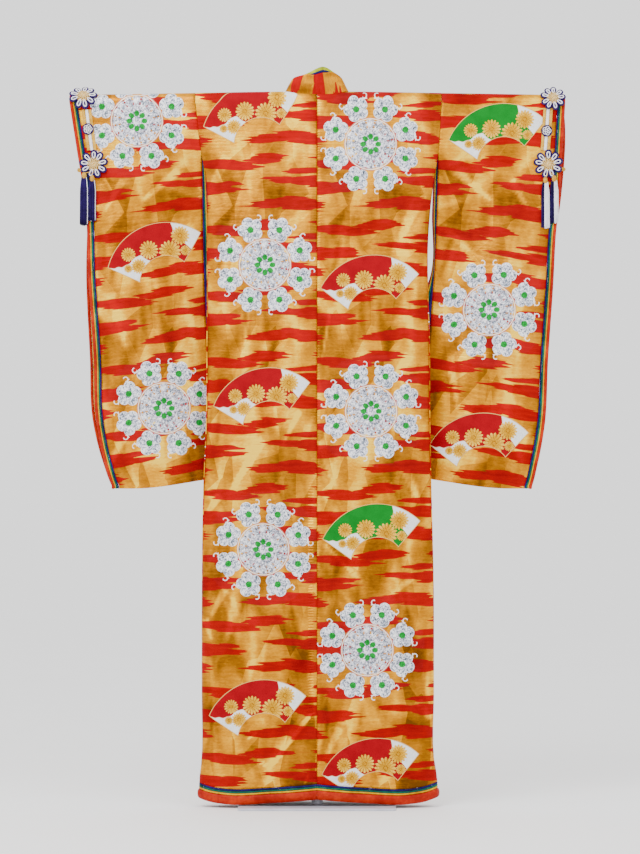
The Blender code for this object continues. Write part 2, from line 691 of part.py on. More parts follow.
for old in list(bpy.data.objects):
    bpy.data.objects.remove(old, do_unlink=True)
bpy.context.view_layer.active_layer_collection = bpy.context.view_layer.layer_collection
KIMONO = collection_of("uchikake_on_stand")
CUTTERS = collection_of("cutters")

brocade = material_of("gold_red_brocade", (214, 150, 52), 0.42)
edging = material_of("layered_silk_edging", (226, 74, 38), 0.5)
cord_silk = material_of("white_silk_cord", (236, 230, 214), 0.6)
gold_cord = material_of("gold_silk_cord", (222, 178, 84), 0.5)
purple_silk = material_of("purple_silk_thread", (52, 28, 112), 0.55)
white_paint = material_of("white_painted_steel", (232, 230, 236), 0.45)

stand(white_paint, white_paint)
for word, side in (("left", -1), ("right", 1)):
    body(f"body_{word}", side, brocade)
    okumi(f"okumi_{word}", side, brocade)
    sleeve(f"sleeve_{word}_back", side, brocade, "back")
    sleeve(f"sleeve_{word}_front", side, brocade, "front")
    cuff_edging(f"cuff_edging_{word}", side, edging)
    arm_edging(f"arm_edging_{word}", side, edging)
    hem_edging(f"hem_edging_{word}", side, edging)
collar("collar", brocade)

for word, x, z, radius, turn in ROSETTES:
    side = -1 if x < 0 else 1
    rosette(f"rosette_lower_{word}", on_sleeve(side, x, z, ORNAMENT_LIFT), radius, turn, cord_silk)
for word, x, radius in UPPER_ROSETTES:
    side = -1 if x < 0 else 1
    rosette(f"rosette_upper_{word}", over_edge(side, x), radius, 0.0, cord_silk)
for word, x, z, lift, top in KNOTS:
    side = -1 if x < 0 else 1
    dome(f"knot_{word}", on_sleeve(side, x, z, lift + CORD_RADIUS + 2 * GAP), KNOT_RADIUS, 0.006, cord_silk)
    for i in (-1, 0, 1):
        cord(f"cord_{word}_{i + 2}", side, x + i * CORD_PITCH, top, CORD_END, lift, gold_cord)
for (word, turn), (_, x, z, radius, _) in zip(BEADS, ROSETTES):
    side = -1 if x < 0 else 1
    far = radius + BEAD_RADIUS
    at = (x + far * math.cos(math.radians(turn)), z + far * math.sin(math.radians(turn)))
    place = on_sleeve(side, at[0], at[1], ORNAMENT_LIFT)
    dome(f"bead_{word}", place, BEAD_RADIUS, 0.006, gold_cord, sides=10)
for name, x, top, bottom in TASSELS:
    tassel(name, x, top, bottom, purple_silk)
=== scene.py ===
"""Looks of an uchikake wedding kimono that hangs on a T-shaped stand.

Every sheet of cloth is sampled finely on the form of its solid, with creases laid out one by one. The brocade
is one material: each piece of cloth carries its weave coordinates and the place of the nearest motif, in
millimetres, and nodes draw the red flame streaks, the flower roundels and the folding fans from them.
"""

import math

import bpy
import numpy as np
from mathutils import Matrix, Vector


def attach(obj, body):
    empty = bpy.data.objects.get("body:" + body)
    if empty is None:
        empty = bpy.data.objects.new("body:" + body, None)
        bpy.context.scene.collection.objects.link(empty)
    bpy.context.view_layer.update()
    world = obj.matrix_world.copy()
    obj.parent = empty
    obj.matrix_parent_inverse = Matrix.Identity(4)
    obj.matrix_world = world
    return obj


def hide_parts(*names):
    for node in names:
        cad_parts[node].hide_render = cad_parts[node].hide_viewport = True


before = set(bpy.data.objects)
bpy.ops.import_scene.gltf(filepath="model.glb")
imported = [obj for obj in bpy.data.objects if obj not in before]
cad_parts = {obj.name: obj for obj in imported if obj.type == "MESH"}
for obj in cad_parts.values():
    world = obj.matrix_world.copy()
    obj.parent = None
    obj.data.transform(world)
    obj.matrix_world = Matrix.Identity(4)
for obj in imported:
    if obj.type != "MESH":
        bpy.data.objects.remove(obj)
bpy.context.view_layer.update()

# Sizes shared with the solids, in metres. The robe's middle is at x = 0; reach is the distance from it.
WALL = 0.0024
GAP = 0.0003  # between pieces at a seam
COLLAR_WALL = 0.005
FOLD_DEPTH = 0.0022  # of the soft folds that the panels hang in
ROD_RADIUS = 0.015
ROD_Z = 1.8443
TURN_STEPS = 8
TURN = (ROD_RADIUS + GAP) / math.cos(math.pi / 2 / TURN_STEPS) + WALL / 2  # of the cloth over the rod
SHOULDER_RISE = (  # reach, height over that turn
    (0.0, 0.0090), (0.09, 0.0090), (0.32, 0.0055), (0.65, 0.0),
)
WIDTH_LEFT = (  # height, half the width
    (0.00, 0.3070), (0.07, 0.3065), (0.12, 0.3015), (0.30, 0.3007), (0.60, 0.3000), (0.83, 0.2967),
    (1.01, 0.2895), (1.22, 0.2880), (1.50, 0.2875), (1.64, 0.2885), (1.70, 0.3000), (1.72, 0.3030),
    (1.79, 0.3115), (1.86, 0.3200),
)
WIDTH_RIGHT = (  # height, half the width
    (0.00, 0.3145), (0.07, 0.3135), (0.12, 0.3060), (0.30, 0.3052), (0.60, 0.3040), (0.83, 0.2985),
    (1.00, 0.2955), (1.25, 0.2935), (1.33, 0.2905), (1.48, 0.2900), (1.64, 0.3050), (1.70, 0.3150),
    (1.72, 0.3169), (1.79, 0.3216), (1.86, 0.3263),
)
DEPTH = (  # height, half the depth near the middle
    (0.00, 0.0580), (0.30, 0.0550), (0.80, 0.0500), (1.20, 0.0430), (1.50, 0.0340), (1.70, 0.0225),
    (1.80, 0.0176), (1.8443, TURN),
)
SIDE_DEPTH = (  # height, half the depth at the side
    (0.00, GAP / 2), (1.56, GAP / 2), (1.60, 0.0010), (1.64, 0.0045), (1.68, 0.0090), (1.715, 0.0125),
    (1.78, 0.0157), (1.82, 0.0167), (1.8443, TURN),
)
HEM_BACK = (  # reach, height of the panel's lower edge
    (0.0, 0.0640), (0.03, 0.0610), (0.12, 0.0545), (0.24, 0.0500), (0.28, 0.0550), (0.32, 0.0670),
)
HEM_LOW = 0.0545
HEM_FRONT = ((-0.12, HEM_LOW), (0.20, HEM_LOW), (0.28, 0.0580), (0.32, 0.0670))
NECK_HALF = 0.087
NECK_DROP = math.radians(25)
COLLAR_TOP = 1.80
COLLAR_END = 0.86
COLLAR_END_SEAM = -0.030
COLLAR_SLANT = 0.0045  # of its lower end
FREE_TOP = 0.036  # reach of the collar's free edge where the fronts start
FRONT_EDGE = -0.105
OKUMI_SEAM = 0.055
OKUMI_TIP = 1.515
OVERLAP = (  # height, how far the left front stands over the right one
    (0.0, 0.0190), (0.30, 0.0180), (1.20, 0.0130), (1.56, 0.0110), (1.72, 0.0),
)
OVERLAP_FROM = 0.24
OVERLAP_FULL = 0.15
SLEEVE_LEFT = (  # height, reach of the cuff, reach of the armhole edge
    (0.80, 0.5180, 0.2330), (0.83, 0.5335, 0.2350), (0.90, 0.5560, 0.2480), (1.01, 0.5780, 0.2680),
    (1.17, 0.5836, 0.2850), (1.38, 0.5977, 0.2970), (1.57, 0.6055, 0.3010), (1.715, 0.6277, 0.3029),
    (1.86, 0.6500, 0.3206),
)
SLEEVE_RIGHT = (  # height, reach of the cuff, reach of the armhole edge
    (0.80, 0.5450, 0.2430), (0.83, 0.5596, 0.2450), (0.90, 0.5780, 0.2560), (0.99, 0.5946, 0.2710),
    (1.17, 0.6045, 0.2900), (1.37, 0.6180, 0.3060), (1.50, 0.6250, 0.3130), (1.585, 0.6340, 0.3155),
    (1.715, 0.6420, 0.3171), (1.86, 0.6500, 0.3269),
)
# Height, and how far a cuff's front layer shows past its back one
FAR_LEFT = ((0.83, 0.0), (0.90, 0.0050), (1.42, 0.0060), (1.55, 0.0), (1.86, 0.0))
FAR_RIGHT = ((0.83, 0.0), (1.48, 0.0), (1.60, 0.0055), (1.78, 0.0055), (1.83, 0.0), (1.86, 0.0))
SLEEVE_BOTTOM = (  # place across the sleeve, height
    (-0.1, 0.8335), (0.3, 0.8340), (0.75, 0.8520), (1.1, 0.8700),
)
SLEEVE_FOLD = 0.0050  # radius of the turn at a sleeve's bottom
SLEEVE_DEPTH = (  # height, half the depth
    (0.84, SLEEVE_FOLD), (0.88, 0.0085), (0.95, 0.0120), (1.10, 0.0150), (1.35, 0.0150), (1.60, 0.0130),
    (1.715, 0.0125), (1.78, 0.0157), (1.82, 0.0167), (1.8443, TURN),
)
SWING = (  # height, how far the armhole edge swings forward
    (0.80, 0.0580), (1.10, 0.0580), (1.30, 0.0550), (1.45, 0.0480), (1.57, 0.0370), (1.64, 0.0245),
    (1.685, 0.0090), (1.712, 0.0), (1.722, 0.0), (1.74, 0.0), (1.86, 0.0),
)
SLEEVE_WIDTH = 0.32
ARMHOLE_LOW = 1.712
ARMHOLE_GAP = 0.0006
CUFF_CLOTH = 0.0205 / SLEEVE_WIDTH  # place across the sleeve where its cloth starts
ARM_LAYERS_LEFT = (  # height, width
    (0.80, 0.024), (1.45, 0.022), (1.56, 0.018), (1.62, 0.0145), (1.66, 0.011), (1.69, 0.007),
    (1.712, 0.004),
)
ARM_LAYERS_RIGHT = (  # height, width
    (0.80, 0.027), (1.34, 0.025), (1.375, 0.0125), (1.56, 0.0115), (1.62, 0.0105), (1.66, 0.009),
    (1.712, 0.004),
)
ROSETTES = (("left", -0.5838, 1.680, 0.0350), ("right", 0.6047, 1.680, 0.0360))  # side, x, z, radius
UPPER_ROSETTES = (  # side, x, radius, lean in degrees, radius of its bend above and below the middle
    ("left", -0.6115, 0.0350, 48, 0.120, 0.045), ("right", 0.6165, 0.0310, 66, 0.140, 0.080),
)
ROSETTE_TURN = {"lower": 12.0, "upper": 4.0}  # degrees
PETALS = 9
# Side, x, z and lift of a knot, and the height where its straight cords start
KNOTS = (("left", -0.598, 1.7716, 0.0049, 1.8225), ("right", 0.600, 1.7670, 0.0041, 1.8265))
CORD_END = 1.7160
# How far straight cords stand to the right: a share of the height over the knot, and metres all along
CORD_SLANT = {"left": (-0.130, 0.0025), "right": (0.070, 0.0)}
ORNAMENT_LIFT = 0.0035  # over the sleeve's middle
KNOT_RADIUS = 0.0145
CORD_HALF = 0.0041  # half a flat cord's width
CORD_RADIUS = 0.0022  # half its thickness
CORD_PITCH = 0.0085
BEADS = (("left", 203.0), ("right", 341.0))  # side, direction from the lower rosette in degrees
BEAD_RADIUS = 0.0058
TASSELS = (  # name, x, top, bottom, share of white threads
    ("tassel_left_outer", -0.6083, 1.6587, 1.5170, 0.1),
    ("tassel_left_inner", -0.5875, 1.6508, 1.5280, 0.1),
    ("tassel_right_inner", 0.5965, 1.6460, 1.5100, 0.65),
    ("tassel_right_outer", 0.6195, 1.6502, 1.5230, 0.5),
)
THREADS = 60
HEAD_WINDS = 7
HEAD_PITCH = 0.0021
HEAD_RADIUS = 0.0050
NECK_DOWN = 0.0155  # from a tassel's top to where its threads start
STAND_OUT = 0.0050  # of tassels, past the other ornaments
BUNCH_HALF, BUNCH_DEPTH = 0.0103, 0.0042  # half the width and half the depth of a tassel's threads
THREAD_RADIUS = 0.0011
GOLDEN_ANGLE = 2.39996  # radians, from each thread to the next
COLLAR_RIGHT = (  # seam edge x, y, z, then free edge x, y, z, from the middle of the back
    (0.0000, -0.0085, 1.8695, 0.0040, -0.0200, 1.9310),
    (0.0220, -0.0085, 1.8697, 0.0165, -0.0195, 1.9362),
    (0.0450, -0.0078, 1.8709, 0.0370, -0.0165, 1.9250),
    (0.0660, -0.0052, 1.8726, 0.0575, -0.0090, 1.9115),
    (0.0800, 0.0005, 1.8734, 0.0680, 0.0040, 1.9000),
    (0.0836, 0.0098, 1.8672, 0.0680, 0.0200, 1.8880),
    (0.0836, 0.0174, 1.8560, 0.0610, 0.0310, 1.8700),
    (0.0854, 0.0186, 1.8350, 0.0500, 0.0300, 1.8420),
)
COLLAR_LEFT_HEIGHTS = (1.9310, 1.9205, 1.9125, 1.9085, 1.8980, 1.8870, 1.8700, 1.8420)
# Points of the cloth's grids
BODY_ROWS, BODY_COLUMNS, NECK_COLUMNS = 301, 38, 15
OKUMI_ROWS_ABOVE, OKUMI_ROWS_BELOW, OKUMI_COLUMNS = 110, 136, 27
TURN_ROWS, FOLD_ROWS = 17, 9
SLEEVE_COLUMNS = 49
# Edging: each roll's distance from the edge, half its width and its height
CUFF_STRIPS = ((0.0183, 0.0018, 0.0017), (0.0141, 0.0022, 0.0019), (0.0101, 0.0016, 0.0019))
CUFF_ROLL = (0.0043, 0.0041, 0.0028)
HEM_STRIPS = ((0.0031, 0.0025, 0.0020), (0.0084, 0.0025, 0.0022), (0.0136, 0.0024, 0.0023))
HEM_ROLL = (0.0286, 0.0122, 0.0068)
ARM_STRIPS = ((0.13, 0.12), (0.36, 0.11), (0.56, 0.09), (0.83, 0.17))  # both in shares of the width
ARM_STRIP_HEIGHT = 0.0017
INNER_COLLARS = ((0.955, -0.125), (0.935, 0.0), (0.975, -0.025))  # share of the band, change at the nape
# Cords of a petal: from and to in shares of the radius, half its width, size, height and colour
PETAL_CORDS = (
    (0.40, 1.02, 0.24, 0.0025, 0.0019, 1), (0.42, 0.90, 0.135, 0.0016, 0.0038, 0),
    (0.44, 0.79, 0.032, 0.0015, 0.0020, 1),
)
BOSS = 0.50  # share of the rosette's radius
BOSS_CORDS = 12  # each way round


def curve(at, table, column=1):
    """A smooth line through a table's rows, flat beyond its ends."""
    rows = np.array(table, float)
    places = rows[:, 0]
    values = rows[:, column]
    slopes = np.gradient(values, places)
    at = np.clip(np.asarray(at, float), places[0], places[-1])
    i = np.clip(np.searchsorted(places, at) - 1, 0, len(places) - 2)
    span = places[i + 1] - places[i]
    t = (at - places[i]) / span
    start = values[i] * (1 + 2 * t) * (1 - t) ** 2 + slopes[i] * span * t * (1 - t) ** 2
    end = values[i + 1] * t * t * (3 - 2 * t) + slopes[i + 1] * span * t * t * (t - 1)
    return start + end


def ease(t):
    """0 up to 0, 1 from 1 on, and a smooth rise between them."""
    t = np.clip(t, 0, 1)
    return t * t * (3 - 2 * t)


def circle(count):
    """Angles of points that stand evenly round a circle."""
    return np.linspace(0, 2 * math.pi, count + 1)[:-1]


def side_of(x):
    """-1 on the left and 1 on the right."""
    return -1 if x < 0 else 1


def points_at(x, y, z):
    """Points from numbers or arrays that fit one another."""
    return np.stack(np.broadcast_arrays(x, y, z), axis=-1)


def half_width(x, z):
    """Half the body's width at a height, on the side of x."""
    return np.where(np.asarray(x) < 0, curve(z, WIDTH_LEFT), curve(z, WIDTH_RIGHT))


def half_depth(x, z):
    """Half the body's depth, most at its middle."""
    share = np.clip(np.abs(x) / half_width(x, z), 0, 1)
    side = curve(z, SIDE_DEPTH)
    return side + (curve(z, DEPTH) - side) * np.sqrt(1 - share * share)


def undulation(x, z, turn):
    """Soft folds that fade out toward the sides, the shoulder and the hem."""
    share = np.clip(np.abs(x) / half_width(x, z), 0, 1)
    calm = ease((1.72 - z) / 0.25) * ease((z - 0.06) / 0.2) * (1 - share**6)
    wave = np.sin(17 * x + 5 * z + turn) + 0.8 * np.sin(29 * x - 7 * z + 2 * turn)
    return FOLD_DEPTH * calm * (wave + 0.7 * np.sin(11 * z + 3 * x + turn))


def back_point(x, z):
    """A place on the back."""
    return points_at(x, -half_depth(x, z) + undulation(x, z, 1.0), z)


def front_point(side, x, z):
    """A place on a front, whose left half crosses over the right one."""
    own = x * side
    over = 0.0
    if side < 0:
        over = curve(z, OVERLAP) * ease((OVERLAP_FROM - own) / (OVERLAP_FROM - OVERLAP_FULL))
    return points_at(x, half_depth(x, z) + undulation(x, z, 2.6) + over, z)


def turn_point(x, angle):
    """A place over the rod, at an angle from straight up toward the back."""
    rise = curve(np.abs(x), SHOULDER_RISE)
    return points_at(x, -TURN * np.sin(angle), ROD_Z + (TURN + rise) * np.cos(angle))


def collar_seam(z):
    """Reach of the seam between a front and the collar."""
    share = (COLLAR_TOP - np.asarray(z, float)) / (COLLAR_TOP - COLLAR_END)
    return NECK_HALF + (COLLAR_END_SEAM - NECK_HALF) * np.clip(share, 0, 1)


def collar_free(z):
    """Reach of the collar's free edge."""
    share = (COLLAR_TOP - np.asarray(z, float)) / (COLLAR_TOP - COLLAR_END)
    return FREE_TOP + (FRONT_EDGE - FREE_TOP) * np.clip(share, 0, 1)


def sleeve_point(side, across, around):
    """A place on a sleeve. across is 0 at the cuff's outer edge and 1 at the armhole; around is 0 to 1 over
    the rod from front to back, 1 to 2 down the back, 2 to 3 round the bottom fold and 3 to 4 up the front."""
    across, around = np.broadcast_arrays(np.asarray(across, float), np.asarray(around, float))
    table = SLEEVE_LEFT if side < 0 else SLEEVE_RIGHT
    far = FAR_LEFT if side < 0 else FAR_RIGHT
    bottom = curve(across, SLEEVE_BOTTOM) + SLEEVE_FOLD
    down = np.clip(around - 1, 0, 1)
    up = np.clip(around - 3, 0, 1)
    z = np.where(around <= 2, ROD_Z + (bottom - ROD_Z) * down, bottom + (ROD_Z - bottom) * up)
    depth = np.where(z <= bottom + 1e-9, SLEEVE_FOLD, curve(z, SLEEVE_DEPTH))
    depth = SLEEVE_FOLD + (depth - SLEEVE_FOLD) * ease((z - bottom) / 0.05)
    angle = np.where(around <= 1, (around - 0.5) * math.pi, 0)
    low = np.where((around > 2) & (around < 3), (around - 2) * math.pi, 0)
    face = np.where(around <= 2, -1.0, 1.0)
    outer = curve(z, table, 1)
    inner = np.where(z > ARMHOLE_LOW, half_width(side, z) + ARMHOLE_GAP, curve(z, table, 2))
    outer = outer + np.where(face > 0, curve(z, far), 0)
    reach = outer + (inner - outer) * across
    rise = curve(reach, SHOULDER_RISE)
    y = face * depth
    y = np.where(around <= 1, -TURN * np.sin(angle), y)
    y = np.where(low > 0, -SLEEVE_FOLD * np.cos(low), y)
    top = np.where(around <= 1, (TURN + rise) * np.cos(angle), 0)
    dip = np.where(low > 0, -SLEEVE_FOLD * np.sin(low), 0)
    swing = curve(z, SWING) * ease((across - 0.30) / 0.70)
    calm = ease((1.70 - z) / 0.2) * ease((z - 0.86) / 0.1)
    wave = np.sin(15 * reach + 6 * z + face) + 0.8 * np.sin(24 * reach - 9 * z + 2 * face)
    y = y + swing + FOLD_DEPTH * calm * wave
    return points_at(side * reach, y, z + top + dip)


def lifted(side, across, around, height):
    """A point over a sleeve's surface, by height along its outward normal."""
    step = 1e-3
    middle = sleeve_point(side, across, around)
    across = np.asarray(across, float)
    one = sleeve_point(side, across + step, around) - sleeve_point(side, across - step, around)
    low = np.maximum(np.asarray(around) - step, 0)
    high = np.minimum(np.asarray(around) + step, 4)
    two = sleeve_point(side, across, high) - sleeve_point(side, across, low)
    normal = side * np.cross(one, two)
    normal = normal / np.linalg.norm(normal, axis=-1, keepdims=True)
    return middle + normal * np.asarray(height)[..., None]


def on_back(side, x, z):
    """The values of across and around at a place on a sleeve's back."""
    table = SLEEVE_LEFT if side < 0 else SLEEVE_RIGHT
    outer = curve(z, table, 1)
    inner = curve(z, table, 2)
    across = (outer - np.abs(x)) / (outer - inner)
    bottom = curve(across, SLEEVE_BOTTOM) + SLEEVE_FOLD
    return across, 1 + (ROD_Z - z) / (ROD_Z - bottom)


# Cloth. Places on it are metres to the right and up as its viewer sees them, carried on over the shoulder.
OVER = math.pi * TURN  # length of cloth over the rod
REPEAT = 172.3  # mm, the height of one repeat of the red streaks
WEAVE_TOP = 2107.6  # mm, the height where the weave's v is 0
ROUNDEL, RED_FAN, GREEN_FAN = 1, 2, 3
MOTIF_REACH = 0.150  # farthest that a motif's material reaches from the motif's middle
FAN_MIDDLE = (-0.015, 0.112)  # from the middle of its arcs
PAINTED_LIGHT_FROM = np.array((-0.6, 0.0, 0.8))  # folds that lean this way get painted highlight, those leaning away painted shade
WELD = 2e-5  # points of neighbouring patches this close become one
# Motifs: kind, x, z and turn in degrees. A roundel's place is its middle, a fan's the middle of its arcs.
BACK_LEFT = (
    (RED_FAN, -0.146, 1.731, 4.0), (ROUNDEL, -0.136, 1.416, 0.0), (RED_FAN, -0.123, 0.990, 0.0),
    (ROUNDEL, -0.140, 0.674, 0.0), (RED_FAN, -0.136, 0.177, -1.6),
)
BACK_RIGHT = (
    (ROUNDEL, 0.140, 1.732, 0.0), (RED_FAN, 0.150, 1.284, -5.4), (ROUNDEL, 0.141, 1.034, 0.0),
    (GREEN_FAN, 0.158, 0.635, -3.4), (ROUNDEL, 0.131, 0.412, 0.0), (RED_FAN, 0.157, 0.025, -2.3),
)
FRONT_LEFT = (
    (ROUNDEL, 0.164, 1.560, 0.0), (GREEN_FAN, 0.146, 1.150, -4.0), (ROUNDEL, 0.166, 0.930, 0.0),
    (RED_FAN, 0.148, 0.545, 2.0), (ROUNDEL, 0.164, 0.300, 0.0),
)
FRONT_RIGHT = (
    (RED_FAN, -0.146, 1.490, 3.0), (ROUNDEL, -0.166, 1.280, 0.0), (RED_FAN, -0.146, 0.850, -3.0),
    (ROUNDEL, -0.164, 0.600, 0.0), (GREEN_FAN, -0.146, 0.190, 0.0),
)
OKUMI_LEFT = ((RED_FAN, -0.010, 0.690, 0.0), (ROUNDEL, -0.040, 0.450, 0.0), (GREEN_FAN, -0.020, 0.080, 0.0))
OKUMI_RIGHT = ((ROUNDEL, 0.035, 0.720, 0.0), (RED_FAN, 0.045, 0.340, 0.0))
# A sleeve's weave: width of its cloth, tilt of its streaks, and the right one's pivot and far u in mm
SLEEVE_WEAVE, SLEEVE_TILT, TILT_PIVOT, FAR_U = 0.30, 0.13, 0.273, 304
SLEEVE_BACK_LEFT = (
    (ROUNDEL, -0.471, 1.793, 0.0), (RED_FAN, -0.393, 1.372, 7.7), (ROUNDEL, -0.401, 1.042, 0.0),
)
SLEEVE_BACK_RIGHT = (
    (GREEN_FAN, 0.489, 1.681, -2.0), (ROUNDEL, 0.451, 1.300, 0.0), (RED_FAN, 0.436, 0.872, -6.6),
)
SLEEVE_FRONT_LEFT = (
    (GREEN_FAN, 0.480, 1.640, 2.0), (ROUNDEL, 0.450, 1.400, 0.0), (RED_FAN, 0.430, 0.960, -6.0),
)
SLEEVE_FRONT_RIGHT = (
    (RED_FAN, -0.480, 1.660, -2.0), (ROUNDEL, -0.450, 1.330, 0.0), (GREEN_FAN, -0.430, 0.900, 6.0),
)
# Creases: from x, z to x, z, width and height, in metres
CREASES_LEFT = (
    (-0.020, 0.252, -0.118, 0.111, 0.0080, 0.0034), (-0.215, 1.62, -0.250, 1.42, 0.013, -0.0022),
    (-0.255, 1.66, -0.170, 1.50, 0.010, 0.0018), (-0.075, 1.70, -0.105, 1.53, 0.012, -0.0016),
    (-0.160, 1.26, -0.205, 1.05, 0.014, 0.0020), (-0.060, 1.32, -0.040, 1.12, 0.011, -0.0018),
    (-0.265, 1.20, -0.240, 0.98, 0.010, 0.0016), (-0.110, 0.93, -0.060, 0.76, 0.010, 0.0020),
    (-0.250, 0.90, -0.215, 0.66, 0.014, -0.0022), (-0.190, 0.60, -0.235, 0.40, 0.012, 0.0022),
    (-0.100, 0.56, -0.070, 0.34, 0.012, -0.0018), (-0.268, 0.46, -0.262, 0.20, 0.009, 0.0018),
    (-0.285, 0.46, -0.120, 0.44, 0.008, 0.0014), (-0.230, 0.20, -0.150, 0.09, 0.011, 0.0018),
    (-0.060, 0.16, -0.020, 0.08, 0.009, -0.0018),
)
CREASES_RIGHT = (
    (0.060, 1.56, 0.100, 1.36, 0.013, 0.0020), (0.240, 1.60, 0.200, 1.40, 0.012, -0.0020),
    (0.265, 1.44, 0.255, 1.22, 0.009, 0.0016), (0.040, 1.30, 0.070, 1.10, 0.011, -0.0018),
    (0.235, 1.14, 0.205, 0.92, 0.013, 0.0022), (0.110, 0.92, 0.080, 0.74, 0.012, -0.0018),
    (0.270, 0.86, 0.240, 0.60, 0.010, 0.0018), (0.030, 0.70, 0.065, 0.52, 0.010, 0.0018),
    (0.140, 0.62, 0.255, 0.56, 0.009, 0.0016), (0.080, 0.36, 0.050, 0.16, 0.012, -0.0020),
    (0.210, 0.34, 0.250, 0.12, 0.012, 0.0020), (0.290, 0.50, 0.280, 0.20, 0.008, -0.0014),
    (0.020, 0.24, 0.110, 0.20, 0.008, 0.0016), (0.030, 1.72, 0.060, 1.60, 0.010, 0.0014),
)
CREASES_SLEEVE = (  # reach from the body's middle
    (0.310, 1.660, 0.420, 1.700, 0.010, 0.0022), (0.312, 1.610, 0.440, 1.645, 0.009, -0.0020),
    (0.310, 1.560, 0.400, 1.585, 0.010, 0.0020), (0.308, 1.500, 0.385, 1.500, 0.009, -0.0016),
    (0.545, 1.620, 0.560, 1.330, 0.013, -0.0018), (0.470, 1.560, 0.480, 1.300, 0.014, 0.0020),
    (0.390, 1.430, 0.370, 1.180, 0.014, -0.0020), (0.520, 1.220, 0.500, 0.980, 0.013, 0.0018),
    (0.440, 1.120, 0.450, 0.920, 0.013, -0.0018), (0.330, 1.260, 0.345, 0.960, 0.012, 0.0016),
    (0.400, 0.940, 0.500, 0.900, 0.009, 0.0014), (0.560, 0.980, 0.530, 0.870, 0.010, 0.0016),
)
# Painted highlights on pressed folds: from x, z to x, z, half the width in metres, and strength
GLEAMS_LEFT = (
    (-0.012, 0.252, -0.118, 0.111, 0.0080, 1.0), (-0.144, 0.121, -0.123, 0.103, 0.0040, 0.8),
    (-0.0235, 0.085, -0.031, 0.064, 0.0035, 0.8), (-0.183, 0.176, -0.154, 0.198, 0.0035, 0.7),
    (-0.144, 0.960, -0.222, 0.830, 0.0130, 0.55), (-0.255, 0.815, -0.285, 0.770, 0.0120, 0.6),
    (-0.240, 0.570, -0.275, 0.500, 0.0110, 0.5), (-0.200, 0.580, -0.235, 0.440, 0.0180, 0.35),
    (-0.045, 1.035, -0.090, 0.945, 0.0080, 0.5), (-0.292, 0.490, -0.275, 0.440, 0.0100, 0.5),
    (-0.175, 1.310, -0.196, 1.165, 0.0060, 0.5), (-0.110, 1.250, -0.165, 1.130, 0.0140, 0.3),
    (-0.030, 1.560, -0.110, 1.480, 0.0160, 0.3), (-0.235, 1.700, -0.285, 1.600, 0.0150, 0.3),
)
GLEAMS_RIGHT = (
    (0.021, 0.685, 0.125, 0.581, 0.0060, 0.5), (0.265, 0.279, 0.295, 0.230, 0.0130, 0.45),
    (0.010, 0.960, 0.045, 0.840, 0.0140, 0.4), (0.034, 1.298, 0.013, 1.168, 0.0050, 0.6),
    (0.110, 1.620, 0.060, 1.480, 0.0180, 0.3), (0.262, 1.580, 0.200, 1.450, 0.0160, 0.3),
    (0.240, 1.180, 0.180, 1.090, 0.0130, 0.35), (0.230, 0.880, 0.270, 0.790, 0.0120, 0.4),
    (0.250, 0.600, 0.180, 0.545, 0.0090, 0.4), (0.060, 0.210, 0.020, 0.130, 0.0110, 0.4),
)
GLEAMS_SLEEVE = (  # reach from the body's middle
    (0.365, 1.664, 0.457, 1.586, 0.0120, 0.5), (0.509, 1.638, 0.553, 1.560, 0.0100, 0.5),
    (0.330, 1.520, 0.420, 1.440, 0.0120, 0.4), (0.540, 1.340, 0.500, 1.200, 0.0120, 0.4),
    (0.350, 1.180, 0.370, 1.040, 0.0110, 0.4), (0.480, 1.010, 0.540, 0.900, 0.0140, 0.4),
)
# Uneven, soft waves in the cloth: waves across, waves up, turn, height
CRUMPLE = (
    (31, 8, 0.4, 0.0007), (47, -13, 1.9, 0.0005), (22, 27, 3.1, 0.0006), (75, 21, 5.2, 0.00032),
    (64, -46, 2.3, 0.00028), (19, 61, 4.4, 0.00034), (110, 34, 0.9, 0.00018), (93, -71, 3.7, 0.00016),
)


def creases(x, z, table):
    """Height of the folds in a table."""
    total = np.zeros(np.broadcast(x, z).shape)
    for x0, z0, x1, z1, width, height in table:
        long = (x1 - x0) ** 2 + (z1 - z0) ** 2
        t = np.clip(((x - x0) * (x1 - x0) + (z - z0) * (z1 - z0)) / long, 0, 1)
        off = np.hypot(x - x0 - t * (x1 - x0), z - z0 - t * (z1 - z0))
        total = total + height * np.exp(-((off / width) ** 2)) * (0.35 + 0.65 * np.sin(math.pi * t))
    return total


def gleams(x, z, table):
    """How much painted highlight the cloth has at a place, from 0 to 1."""
    most = np.zeros(np.broadcast(x, z).shape)
    for x0, z0, x1, z1, half, strength in table:
        long = (x1 - x0) ** 2 + (z1 - z0) ** 2
        t = ((x - x0) * (x1 - x0) + (z - z0) * (z1 - z0)) / long
        off = np.abs((x - x0) * (z1 - z0) - (z - z0) * (x1 - x0)) / math.sqrt(long)
        wide = half * (1.0 - 0.55 * np.clip(t, 0, 1))
        ends = ease((t + 0.06) / 0.10) * ease((1.05 - t) / 0.10)
        most = np.maximum(most, strength * ends * ease((wide + 0.002 - off) / 0.005))
    return most


def crumple(x, z):
    """Soft unevenness that fades in and out over the cloth."""
    total = np.zeros(np.broadcast(x, z).shape)
    for i, (a, b, turn, height) in enumerate(CRUMPLE):
        patchy = 0.6 + 0.4 * np.sin((3 + i) * x + (7 - i) * z + 2.1 * i)
        total = total + height * patchy * np.sin(a * x + b * z + turn + 1.3 * np.sin(9 * z + 5 * x + i))
    return total


